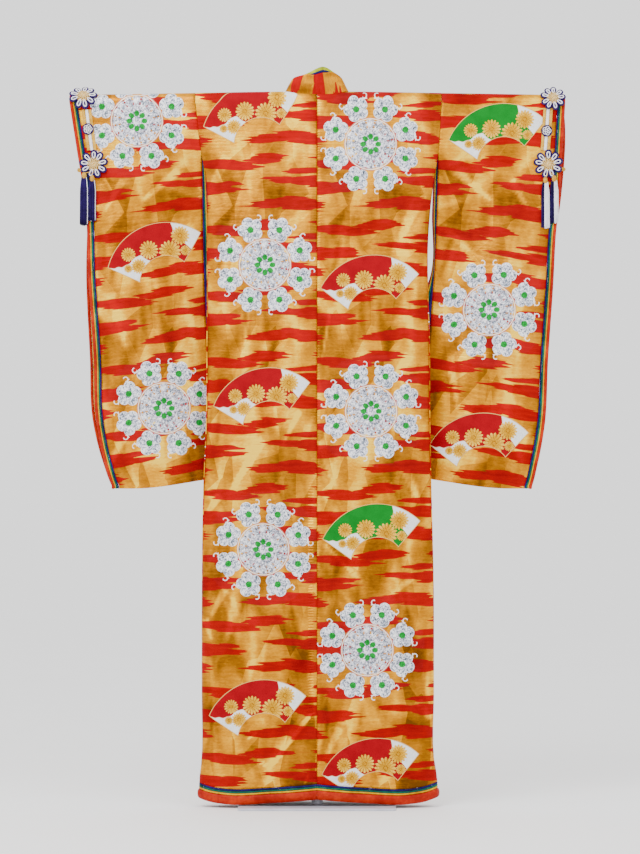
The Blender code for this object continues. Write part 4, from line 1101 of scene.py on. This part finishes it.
def node(tree, kind, inputs=(), output=0, stops=(), **settings):
    """Adds a node with its settings, a ramp's stops of place and colour, and its inputs: numbers, colours
    or links, by name or place. Gives one of its outputs. A Mix of colours takes its share at 0 and the two
    colours at 6 and 7, and noise less 0.5 lies about nought."""
    made = tree.nodes.new("ShaderNode" + kind)
    for name, value in settings.items():
        setattr(made, name, value)
    for _ in stops[2:]:
        made.color_ramp.elements.new(0.5)
    for i, (place, colour) in enumerate(stops):
        made.color_ramp.elements[i].position = place
        made.color_ramp.elements[i].color = linear(colour)
    for place, value in dict(inputs).items():
        put(tree, made.inputs[place], value)
    return Number(tree, made.outputs[output])


class Number:
    """A number that a material works out, with plain arithmetic."""

    def __init__(self, tree, socket):
        self.tree, self.socket = tree, socket

    def math(self, operation, *others):
        return node(self.tree, "Math", enumerate((self, *others)), operation=operation)

    def __add__(self, other):
        return self.math("ADD", other)

    def __mul__(self, other):
        return self.math("MULTIPLY", other)

    __radd__, __rmul__ = __add__, __mul__

    def __sub__(self, other):
        return self.math("SUBTRACT", other)

    def __rsub__(self, other):
        return self.math("MULTIPLY_ADD", -1.0, other)

    def __truediv__(self, other):
        return self.math("DIVIDE", other)

    def __neg__(self):
        return self * -1.0

    def __abs__(self):
        return self.math("ABSOLUTE")

    def __pow__(self, other):
        return self.math("POWER", other)

    def at_least(self, other):
        return self.math("MAXIMUM", other)

    def at_most(self, other):
        return self.math("MINIMUM", other)

    def over(self, low, high, to=(0.0, 1.0)):
        """Where it stands from low to high, held between the two numbers in to."""
        return node(self.tree, "MapRange", {0: self, 1: low, 2: high, 3: to[0], 4: to[1]})

    def near(self, width):
        """1 where it is nought, down to 0 at width on both sides."""
        return abs(self).over(width, 0.0)


def length(x, y):
    """How far x, y is from nought."""
    return (x * x + y * y).math("SQRT")


def material_of(name, **fixed):
    """A material, its nodes and its surface, with fixed values set on the surface's sockets."""
    material = bpy.data.materials.new(name)
    material.use_nodes = True
    surface = material.node_tree.nodes["Principled BSDF"]
    for place, value in fixed.items():
        surface.inputs[place.replace("_", " ").title().replace("Ior", "IOR")].default_value = value
    return material, material.node_tree, surface


def dress(tree, surface, colour, roughness, height, metallic=None):
    """Links a surface's colour, roughness, metal share and height in millimetres."""
    put(tree, surface.inputs["Base Color"], colour)
    put(tree, surface.inputs["Roughness"], roughness)
    if metallic is not None:
        put(tree, surface.inputs["Metallic"], metallic)
    bump = node(tree, "Bump", {"Strength": 1.0, "Distance": 0.001, "Height": height})
    put(tree, surface.inputs["Normal"], bump)


def parts_of(tree, vector):
    """A vector's three numbers."""
    first = node(tree, "SeparateXYZ", {0: vector})
    return [Number(tree, socket) for socket in first.socket.node.outputs]


def attribute(tree, name):
    """The three numbers that the cloth carries under a name."""
    return parts_of(tree, node(tree, "Attribute", output="Vector", attribute_name=name))


# Red streaks in one repeat: from u, v to u, v, and half the thickness, in millimetres
STREAKS = (
    (-30, 78, 162, 92, 11.5), (100, 74, 232, 64, 12.0), (290, 66, 420, 66, 13.0), (-90, 146, 92, 146, 15.5),
    (-90, -26.3, 92, -26.3, 15.5), (26, 135, 112, 137, 5.5), (26, -19.3, 118, -24.3, 6.0),
    (218, 103, 340, 98, 6.0), (150, 121, 290, 127, 7.0), (225, 126, 350, 131, 13.5),
    (107, 20, 240, 12, 10.5), (178, 5, 336, 22, 16.0), (-60, 22, 24, 22, 14.0),
)
STREAK_START = 28.0  # mm, how far below 0 a repeat starts
WEFT_PITCH = 1.1  # mm. The threads are finer, and drawn this coarse so that they show.
ROW_PITCH = 7.0  # mm, of the puckered rows
# Gold and red, each ramped from painted shade to painted highlight
GOLD = ((0.0, "#643800"), (0.25, "#905600"), (0.5, "#B87400"), (0.75, "#E09800"), (1.0, "#FCCC38"))
RED = ((0.0, "#560002"), (0.35, "#880002"), (0.7, "#AA0002"), (1.0, "#C80A02"))


def waves(along, pitch):
    """A sine of that pitch."""
    return (along * (2 * math.pi / pitch)).math("SINE")


def ground(tree):
    """Lame: flat gold thread with painted sheen, highlight and shade in broad pressed patches, and matt red
    silk woven in as streaks.
    Gives its colour, roughness, height and metal share."""
    # The weave's third number is the puckered rows' strength above nought and painted highlight on pressed
    # folds below it; the motif's third number is painted light and shade from the folds' tilt
    u, v, pucker = attribute(tree, "weave")
    lean = attribute(tree, "motif")[2]
    painted_light_and_shade = (-pucker).at_least(0.0) + lean.at_least(0.0) * 1.6 + lean * 0.7
    pucker = pucker.at_least(0.0)
    # Streaks: their places shift softly, and their edges are combed and ragged
    far = node(tree, "TexNoise", {"Vector": (u / 90, v / 70, 0.3), "Scale": 1.0, "Detail": 1.0}) - 0.5
    slow = node(tree, "TexNoise", {"Vector": (u / 60, v / 60, 5.3), "Scale": 1.0, "Detail": 1.0}) - 0.5
    ragged = node(
        tree, "TexNoise", {"Vector": (u / 40, v / 2.6, 1.7), "Scale": 1.0, "Detail": 2.0, "Roughness": 0.6}
    ) - 0.5
    comb = node(tree, "TexNoise", {"Vector": (u / 150, v / 5.6, 9.1), "Scale": 1.0, "Detail": 0.6}) - 0.5
    wu = u + far * 36.0 + comb * 90.0
    wv = v + slow * 4.5
    wv = (wv + STREAK_START).math("FLOORED_MODULO", REPEAT) - STREAK_START
    best = None
    for u0, v0, u1, v1, half in STREAKS:
        t = wu.over(u0, u1)
        round_off = 1.0 - abs(t * 2.0 - 1.0) ** 2.2
        inside = round_off * (half + 3.0) - abs(t * (v1 - v0) + v0 - wv) - 3.0
        best = inside if best is None else best.at_least(inside)
    red = (best + ragged * 4.0 + 2.4).over(-0.6, 0.6)
    # Painted sheen, light and shade: broad shades, pressed facets, mottling, wrinkles and puckered rows; and
    # fine threads
    fine = waves(v, WEFT_PITCH)
    broad = node(
        tree, "TexNoise", {"Vector": (u / 70, v / 160, 3.0), "Scale": 1.0, "Detail": 2.0, "Distortion": 0.6}
    ) - 0.5
    facets = node(
        tree, "TexVoronoi", {"Vector": (u / 62 + v / 400, v / 190 - u / 900, 8.0), "Scale": 1.0}, "Color"
    )
    mottle = node(
        tree, "TexNoise", {"Vector": (u / 9, v / 5, 2.0), "Scale": 1.0, "Detail": 3.0, "Roughness": 0.6}
    ) - 0.5
    wrinkle = node(
        tree, "TexNoise", {"Vector": (u / 55, v / 8, 4.0), "Scale": 1.0, "Detail": 2.0, "Distortion": 0.4}
    ) - 0.5
    rows = (v * (2 * math.pi / ROW_PITCH) + far * 9.0).math("SINE") * pucker
    gold_share = broad * 2.0 + facets * 0.52 + mottle * 0.40 + wrinkle * 0.35
    gold_share = gold_share + rows * 0.16 + fine * 0.02 + painted_light_and_shade * 0.8 + 0.27
    red_share = broad * 0.9 + wrinkle * 0.5 + mottle * 0.25 + fine * 0.03 + painted_light_and_shade * 0.35 + 0.5
    gold_colour = node(tree, "ValToRGB", {0: gold_share}, stops=GOLD)
    red_colour = node(tree, "ValToRGB", {0: red_share}, stops=RED)
    colour = node(tree, "Mix", {0: red, 6: gold_colour, 7: red_colour}, 2, data_type="RGBA")
    height = mottle * 0.35 + wrinkle * 1.1 + fine * 0.02 + rows * 0.8 + red * 0.06
    return colour, red.over(0.0, 1.0, (0.36, 0.55)), height, red.over(0.0, 1.0, (0.62, 0.05))


def over_ground(tree, surface, share, colour, roughness, height, metallic):
    """Lays embroidery over the ground where share is 1."""
    under_colour, under_roughness, under_height, under_metal = ground(tree)
    dress(
        tree,
        surface,
        node(tree, "Mix", {0: share, 6: under_colour, 7: colour}, 2, data_type="RGBA"),
        under_roughness + (roughness - under_roughness) * share,
        under_height + (height - under_height) * share,
        under_metal + (metallic - under_metal) * share,
    )


def brocade_plain():
    """The ground alone."""
    material, tree, surface = material_of("gold_lame_brocade", specular_ior_level=0.06)
    dress(tree, surface, *ground(tree))
    return material


def folded_turn(angle, start, pitch):
    """The angle from the nearest of several spokes, in radians."""
    start, pitch = math.radians(start), math.radians(pitch)
    return (angle - (start - pitch / 2)).math("FLOORED_MODULO", pitch) - pitch / 2


def off_spoke(r, turn, far):
    """How far a place lies outward and sideways from the point that is far out on its spoke."""
    return r * turn.math("COSINE") - far, r * turn.math("SINE")


# A roundel's radii in millimetres, and its lobes: how far out, first spoke in degrees and radius
DISC, RING, HAIRLINE = 60.5, 66.5, 69.0
DOTS_OUT, NOTCHES_OUT, SPECKS_OUT, FLOWERS_OUT = 19.8, 45.0, 57.0, 98.5
LOBES = ((44.0, 22.5, 13.0), (52.0, 0.0, 8.0), (33.0, 0.0, 7.0))
# Silver and green thread, each ramped from painted shade to painted glint
SILVER = ((0.0, "#2C3640"), (0.3, "#7C8896"), (0.5, "#BCBCCC"), (0.7, "#E4E6EC"), (1.0, "#FFFFFF"))
GREEN = ((0.0, "#005C18"), (0.5, "#00822A"), (1.0, "#18AC44"))


def brocade_roundel():
    """A ring of eight small flowers round a many-petalled middle, in white and silver thread with a painted
    glint stitch by stitch. Stitches are drawn 2.4 mm wide so that they show."""
    material, tree, surface = material_of("silver_thread_roundel_brocade", specular_ior_level=0.1)
    p, q, _ = attribute(tree, "motif")
    r = length(p, q)
    angle = q.math("ARCTAN2", p)
    # The eight flowers, with their outlines and the curls between them
    x, y = off_spoke(r, folded_turn(angle, 22.5, 45), FLOWERS_OUT)
    reach = length(x, y)
    petals = abs((y.math("ARCTAN2", x) * 2.5).math("COSINE"))
    edge = petals ** 0.6 * 9.0 + 24.0 - reach
    flower = edge.over(-0.5, 0.5)
    flower_line = (edge - 1.0).near(1.6).at_least((petals - 0.03).near(0.10) * reach.over(9, 11) * flower)
    cx, cy = x - 22.0, abs(y) - 33.0
    curl_reach = length(cx, cy) + cy * 0.25
    curl = (curl_reach - 6.0).near(2.2).over(0.2, 0.5) * (cx * 0.6 - cy).over(6.5, 4.5)
    curl = curl.at_least((cx + 7.0 + cy * 0.3).near(1.7).over(0.2, 0.5) * abs(cy + 5.0).over(9.0, 8.0))
    # The middle: a scalloped disc in a ring, with green dots, drawn lobes and small holes
    scallop = abs((angle * 8.0).math("COSINE")) ** 0.6 * 4.5 + DISC - r
    disc = scallop.over(-0.5, 0.5)
    ring = (r - RING).near(2.2).over(0.2, 0.6)
    inner = folded_turn(angle, 0.0, 45)
    dot_x, dot_y = off_spoke(r, inner, DOTS_OUT)
    dot_x, dot_y = dot_x / 7.9, dot_y / 6.7
    dots = (dot_x * dot_x + dot_y * dot_y).over(1.15, 0.85)
    heart = reach.over(8.9, 7.9)
    lines = (scallop - 1.2).near(1.6)
    for far, start, size in LOBES:
        lobe = length(*off_spoke(r, folded_turn(angle, start, 45), far))
        lines = lines.at_least((lobe - size).near(1.5) * 0.9)
    specks = length(*off_spoke(r, folded_turn(angle, 11.25, 22.5), SPECKS_OUT)).over(3.0, 2.2)
    notch_x, notch_y = off_spoke(r, inner, NOTCHES_OUT)
    notch_y = abs(notch_y) - 9.0
    notches = (notch_x * notch_x * 0.3 + notch_y * notch_y).math("SQRT").over(2.6, 1.8)
    patchy = node(tree, "TexNoise", {"Vector": (p / 26, q / 26, 2.0), "Scale": 1.0, "Detail": 0.0}) - 0.5
    holes = (specks * patchy.over(-0.10, -0.06)).at_least(notches * 0.8)
    # Thread: painted glint on each stitch, tufts of differing tone and painted shade in the creases between
    # them
    glint = node(tree, "TexVoronoi", {"Vector": (p / 2.4, q / 2.4), "Scale": 1.0}, "Color")
    tufts = node(tree, "TexVoronoi", {"Vector": (p / 6.5, q / 6.5, 3.0), "Scale": 1.0}, "Color")
    tint = node(tree, "TexNoise", {"Vector": (p / 14, q / 14, 6.0), "Scale": 1.0, "Detail": 2.0}) - 0.5
    painted_crease_shade = node(
        tree, "TexVoronoi", {"Vector": (p / 7.5, q / 7.5, 3.0), "Scale": 1.0}, feature="DISTANCE_TO_EDGE"
    ).over(0.09, 0.0)
    silver_share = glint * 0.90 + tufts * 0.6 + tint * 0.6 - painted_crease_shade * 0.34 - 0.15
    silver = node(tree, "ValToRGB", {0: silver_share}, stops=SILVER)
    green = node(tree, "ValToRGB", {0: glint * 0.7 + tint + 0.15}, stops=GREEN)
    whole = disc.at_least(flower)
    colour = node(tree, "Mix", {0: lines * disc * 0.55, 6: silver, 7: "#B8A0A8"}, 2, data_type="RGBA")
    colour = node(
        tree, "Mix", {0: flower_line.at_most(1.0) * 0.55, 6: colour, 7: "#FFFFFF"}, 2, data_type="RGBA"
    )
    colour = node(tree, "Mix", {0: dots.at_least(heart), 6: colour, 7: green}, 2, data_type="RGBA")
    rim = ring * (1.0 - whole)
    colour = node(tree, "Mix", {0: rim, 6: colour, 7: "#F6E6D0"}, 2, data_type="RGBA")
    hair = (r - HAIRLINE).near(1.3).over(0.1, 0.7) * (1.0 - flower)
    colour = node(tree, "Mix", {0: hair, 6: colour, 7: "#B4402C"}, 2, data_type="RGBA")
    colour = node(tree, "Mix", {0: curl * (1.0 - whole), 6: colour, 7: "#F2E9E4"}, 2, data_type="RGBA")
    share = whole.at_least(rim).at_least(hair).at_least(curl) * (1.0 - holes * disc)
    height = glint * 0.35 + edge.at_least(scallop).over(0.0, 5.0) * 0.7 + dots.at_least(heart) * 0.5
    over_ground(tree, surface, share, colour, 0.42, height - lines * 0.25, 0.25)
    return material


# Chrysanthemums on a fan: place and radius, in millimetres
FLOWERS = (
    (-90, 84, 18), (-36, 90, 24), (18, 80, 28), (50, 118, 24), (-68, 51, 19), (-95, 48, 11), (58, 78, 13),
)
FAN_OUTER, FAN_INNER = 158.5, 70.0  # radii of its arcs
# Gold thread and white cloud thread, each ramped from painted shade to painted glint
GOLD_THREAD = ((0.0, "#643400"), (0.4, "#A86C00"), (0.7, "#D29A18"), (1.0, "#F4C858"))
WHITE = ((0.0, "#C4C6C6"), (0.5, "#DEDFDF"), (1.0, "#F2F2F0"))


def brocade_fan(name, field):
    """A fan of one matt dyed silk with white clouds and raised chrysanthemums in gold thread."""
    material, tree, surface = material_of(name, specular_ior_level=0.04)
    p, q, _ = attribute(tree, "motif")
    flat = node(tree, "CombineXYZ", {0: p, 1: q})
    r = length(p, q)
    # Distances from its two straight sides, which meet at -7, -31
    sides = (p + 7.0) * 0.5314 + (q + 31.0) * 0.8471, (q + 31.0) * 0.5990 - (p + 7.0) * 0.8007
    inside = (FAN_OUTER - r).at_most(r - FAN_INNER).at_most(sides[0]).at_most(sides[1])
    fan = inside.over(-0.4, 0.4)
    outline = (inside - 0.8).near(1.3).over(0.1, 0.5)
    # White clouds over two of its corners
    wave = (q * 0.16 + p * 0.05).math("SINE") * 2.0
    upper = (p - 31.0 + wave).at_most(q + (p - 56.0) * 1.18 - 99.0 + wave)
    bulge = (-(((p + 64.0) / 24.0) ** 2.0)).math("EXPONENT") * 24.0
    lower = (bulge + 54.0 + (p * 0.3).math("SINE") * 1.2 - q).at_most(-5.0 - p)
    cloud = upper.at_least(lower)
    # Chrysanthemums: the nearest flower's middle, and how far out on it a place is
    best, middle = None, None
    for x, y, size in FLOWERS:
        centre = node(tree, "VectorMath", {0: flat, 1: (x, y, 0)}, operation="SUBTRACT")
        ratio = node(tree, "VectorMath", {0: centre}, 1, operation="LENGTH") / size
        if best is None:
            best, middle = ratio, centre
        else:
            nearer = ratio.math("LESS_THAN", best)
            middle = node(tree, "Mix", {0: nearer, 4: middle, 5: centre}, 1, data_type="VECTOR")
            best = ratio.at_most(best)
    across, up, _ = parts_of(tree, middle)
    angle = up.math("ARCTAN2", across)
    outer = abs((angle * 8.0).math("COSINE"))
    second = abs((angle * 8.0).math("SINE"))
    flower = (outer ** 0.8 * 0.30 + 0.73 - best).over(-0.02, 0.02)
    grooves = (outer.over(0.42, 0.0) * best.over(0.44, 0.56)).at_least(
        second.over(0.30, 0.0) * best.over(0.56, 0.44) * best.over(0.18, 0.24) * 0.8
    )
    grooves = grooves.at_least((best - 0.20).near(0.05) * 0.8)
    glint = node(tree, "TexVoronoi", {"Vector": (p / 2.2, q / 2.2), "Scale": 1.0}, "Color")
    tint = node(tree, "TexNoise", {"Vector": (p / 30, q / 30, 6.0), "Scale": 1.0, "Detail": 2.0}) - 0.5
    weft = waves(q, 1.3)
    # Gold thread: painted glint stitch by stitch, painted shade in the grooves and lighter toward the petals'
    # tips; white clouds and dye with the same painted glint
    gold_share = glint * 0.35 + tint * 0.5 - grooves * 0.5 + best * 0.30 + 0.38
    gold_thread = node(tree, "ValToRGB", {0: gold_share}, stops=GOLD_THREAD)
    white = node(tree, "ValToRGB", {0: glint * 0.5 + tint + 0.3}, stops=WHITE)
    shade, bright = field
    dye_share = tint * 1.2 + weft * 0.04 + glint * 0.08 + 0.45
    dye = node(tree, "ValToRGB", {0: dye_share}, stops=((0.0, shade), (1.0, bright)))
    colour = node(tree, "Mix", {0: cloud.over(-0.6, 0.6), 6: dye, 7: white}, 2, data_type="RGBA")
    colour = node(tree, "Mix", {0: cloud.near(1.2) * 0.5, 6: colour, 7: "#E8C070"}, 2, data_type="RGBA")
    colour = node(tree, "Mix", {0: flower, 6: colour, 7: gold_thread}, 2, data_type="RGBA")
    colour = node(tree, "Mix", {0: outline, 6: colour, 7: "#E4B468"}, 2, data_type="RGBA")
    metal = flower.at_least(outline) * 0.5
    height = glint * 0.2 + flower * (0.8 - grooves * 0.6) + outline * 0.5 + weft * 0.03 + 0.4
    over_ground(tree, surface, fan.at_least(outline), colour, 0.45, height, metal)
    return material


def around_object(tree):
    """The place on the object in millimetres, whole and as three numbers."""
    inputs = {0: node(tree, "TexCoord", output="Object"), 1: (1000, 1000, 1000)}
    place = node(tree, "VectorMath", inputs, operation="MULTIPLY")
    return place, *parts_of(tree, place)


def silk(name, dark, mid, light, roughness=0.42, grain=(0.9, 0.9, 5.0), pucker=0.3):
    """Plain woven or folded silk: soft changes of tone, a faint sheen and small puckers. grain is the size
    of its threads in millimetres, which are drawn coarser than they are so that they show."""
    material, tree, surface = material_of(name, specular_ior_level=0.1)
    place, x, y, z = around_object(tree)
    thread = x / grain[0], y / grain[1], z / grain[2]
    threads = node(tree, "TexNoise", {"Vector": thread, "Scale": 1.0, "Detail": 2.0}) - 0.5
    soft = node(tree, "TexNoise", {"Vector": place, "Scale": 0.022, "Detail": 2.0}) - 0.5
    folds = node(tree, "TexNoise", {"Vector": place, "Scale": 0.11, "Detail": 2.0, "Distortion": 0.5}) - 0.5
    worn = node(tree, "TexNoise", {"Vector": place, "Scale": 0.35, "Detail": 3.0, "Roughness": 0.7}) - 0.5
    worn = worn.over(0.12, 0.3)
    # Tone follows the folds' relief too: painted light on their ridges and painted shade in their hollows
    share = soft * 0.9 + folds * 0.5 + threads * 0.25 + worn * 0.12 + 0.5
    colour = node(tree, "ValToRGB", {0: share}, stops=((0.15, dark), (0.5, mid), (0.9, light)))
    dress(tree, surface, colour, threads * 0.2 + worn * 0.1 + roughness, folds * pucker * 2 + threads * 0.08)
    return material


def braid(name, dark, mid, light, pitch=2.6, metallic=0.0):
    """Twisted silk cord: strands that slant both ways, pitch millimetres apart, with fine threads."""
    material, tree, surface = material_of(name, specular_ior_level=0.12)
    place, x, y, z = around_object(tree)
    plait = waves(x + z, pitch).at_least(waves(x - z + y, pitch))
    threads = node(tree, "TexNoise", {"Vector": place, "Scale": 1.6, "Detail": 2.0}) - 0.5
    soft = node(tree, "TexNoise", {"Vector": place, "Scale": 0.12, "Detail": 2.0}) - 0.5
    # Tone follows the strands' relief: painted light on their ridges and painted shade between them
    share = plait * 0.16 + threads * 0.3 + soft * 0.5 + 0.42
    colour = node(tree, "ValToRGB", {0: share}, stops=((0.1, dark), (0.45, mid), (0.85, light)))
    dress(tree, surface, colour, threads * 0.2 + 0.45, plait * 0.22 + threads * 0.12)
    surface.inputs["Metallic"].default_value = metallic
    return material


def painted_steel():
    """White powder coat, drawn pale grey as painted shade: fine orange peel, a little dust and small scuffs.
    """
    material, tree, surface = material_of("white_painted_steel", coat_weight=0.15, coat_roughness=0.3)
    place, x, y, z = around_object(tree)
    peel = node(tree, "TexNoise", {"Vector": place, "Scale": 0.9, "Detail": 2.0}) - 0.5
    dust = node(tree, "TexNoise", {"Vector": place, "Scale": 0.03, "Detail": 4.0, "Roughness": 0.65}) - 0.5
    scuff = node(
        tree, "TexNoise", {"Vector": (x / 40, y / 3, z / 3), "Scale": 1.0, "Detail": 3.0, "Roughness": 0.7}
    ) - 0.5
    scuff = scuff.over(0.2, 0.3)
    # Pale grey in place of white: painted shade
    coat_in_painted_shade = ((0.0, "#A8A8B4"), (0.5, "#BCBCC8"), (1.0, "#CCCCD6"))
    colour = node(tree, "ValToRGB", {0: dust * 1.2 + 0.5 - scuff * 0.15}, stops=coat_in_painted_shade)
    dress(tree, surface, colour, dust * 0.2 + scuff * 0.15 + 0.38, peel * 0.06 - scuff * 0.03)
    return material


def floor_paint():
    """Matt white with the faintest changes of tone."""
    material, tree, surface = material_of("matt_white_floor", roughness=0.9)
    tone = node(tree, "TexNoise", {"Vector": around_object(tree)[0], "Scale": 0.004, "Detail": 2.0}) - 0.5
    colour = node(tree, "ValToRGB", {0: tone + 0.5}, stops=((0.0, "#FCFCFC"), (1.0, "#FFFFFF")))
    put(tree, surface.inputs["Base Color"], colour)
    return material


gold_lame = brocade_plain()
lining = silk("orange_red_silk_lining", "#8C0800", "#B41800", "#D83810", grain=(0.9, 0.9, 2.0))
roundels = brocade_roundel()
red_fans = brocade_fan("crimson_fan_brocade", ("#80000E", "#A20014"))
green_fans = brocade_fan("green_fan_brocade", ("#006418", "#008028"))
brocade = [gold_lame, lining, roundels, red_fans, green_fans]
purple = silk("purple_silk", "#080328", "#150A4C", "#2C2078")
lime = silk("yellow_green_silk", "#5C6400", "#98A010", "#C8CC40")
teal = silk("teal_silk", "#003028", "#045040", "#207858")
yellow = silk("yellow_silk", "#946000", "#C89400", "#ECC420")
maroon = silk("maroon_silk", "#4C0818", "#7A1428", "#A02C3C")
orange = silk("orange_silk", "#780A00", "#A01800", "#CC3C06", pucker=0.6)
white_cord = braid("white_silk_cord", "#B8B0C0", "#EEEAEE", "#FFFFFF")
gold_cord = braid("gold_silk_cord", "#845400", "#CC9828", "#F4D070", metallic=0.2)
cream_cord = braid("cream_silk_cord", "#B09058", "#E0C48C", "#FCECC8")
purple_cord = braid("purple_silk_cord", "#0A022A", "#1E0A4A", "#341C6C")
purple_thread = silk("purple_thread", "#06001E", "#16063A", "#2A165C", 0.6, (0.5, 0.5, 9.0), 0.1)
white_thread = silk("white_thread", "#B8B8C4", "#E8E6EC", "#FFFFFF", 0.5, (0.5, 0.5, 9.0), 0.1)

for word, side in (("left", -1), ("right", 1)):
    body(word, side, brocade)
    okumi(word, side, brocade)
    sleeve(word, side, brocade)
    cuff(word, side, [purple, teal, yellow], orange)
    arm(word, side, [purple, teal, yellow, maroon])
    hem(word, side, [purple, teal, yellow], orange)
collar([gold_lame, lining])
collar_layers([purple, lime, lime])

rosette_cords = [white_cord, purple_cord, gold_cord, cream_cord]
places = {}
for (word, x, z, radius), (_, upper_x, upper_radius, *bent) in zip(ROSETTES, UPPER_ROSETTES):
    places[word] = on_sleeve(side_of(x), x, z, ORNAMENT_LIFT)
    rosette(word, "lower", places[word], radius, ROSETTE_TURN["lower"], rosette_cords)
    rosette(word, "upper", over_edge(upper_x, *bent), upper_radius, ROSETTE_TURN["upper"], rosette_cords)
for word, x, z, lift, top in KNOTS:
    knot(word, side_of(x), x, z, lift, [white_cord, purple_cord])
    straight_cords(word, side_of(x), x, z, lift, top, gold_cord, white_cord)
for (word, turn), (_, x, z, radius) in zip(BEADS, ROSETTES):
    turn = math.radians(turn)
    far = radius + BEAD_RADIUS
    place = on_sleeve(side_of(x), x + far * math.cos(turn), z + far * math.sin(turn), ORNAMENT_LIFT)
    bead(word, place, [gold_cord])
for name, x, top, bottom, share in TASSELS:
    word, rx, _, radius = ROSETTES[0 if x < 0 else 1]
    start = places[word](0.3 * (x - rx), -0.6 * radius, 0.004)
    tassel(name, x, top, bottom, start, share, [purple_thread, white_thread, gold_cord])

steel = painted_steel()
for word in ("stand_base", "stand_tee"):
    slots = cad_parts[word].data.materials
    slots.clear()
    slots.append(steel)

# Floor, light and camera. The floor lies a little under the stand.
bpy.ops.mesh.primitive_plane_add(size=14, location=(0, 2.0, -0.0006))
floor = bpy.context.object
floor.name = "studio_floor"
floor.data.materials.append(floor_paint())


def area_light(name, place, aim, size, power):
    """A rectangular light that faces a point. Power is in watts."""
    data = bpy.data.lights.new(name, "AREA")
    data.shape = "RECTANGLE"
    data.size, data.size_y = size
    data.energy = power
    light = bpy.data.objects.new(name, data)
    light.location = place
    light.rotation_euler = (Vector(aim) - Vector(place)).to_track_quat("-Z", "Y").to_euler()
    bpy.context.scene.collection.objects.link(light)


area_light("key_light", place=(-1.2, -2.1, 3.4), aim=(0, 0, 1.9), size=(1.8, 1.8), power=80)
area_light("fill_light", place=(1.7, -2.6, 3.2), aim=(0, 0, 1.7), size=(1.8, 1.8), power=30)
world = bpy.data.worlds.new("studio")
world.use_nodes = True
sky = world.node_tree.nodes["Background"].inputs
sky["Color"].default_value = (1, 1, 1, 1)
sky["Strength"].default_value = 1.6
bpy.context.scene.world = world

view = bpy.data.cameras.new("camera")
view.sensor_fit = "VERTICAL"
view.sensor_height = 24
view.lens = 96.59  # mm
camera = bpy.data.objects.new("camera", view)
camera.location = (0.0078, -9.0, 0.993)
camera.rotation_euler = (math.pi / 2, 0, 0)  # level, facing the back
bpy.context.scene.collection.objects.link(camera)
bpy.context.scene.camera = camera
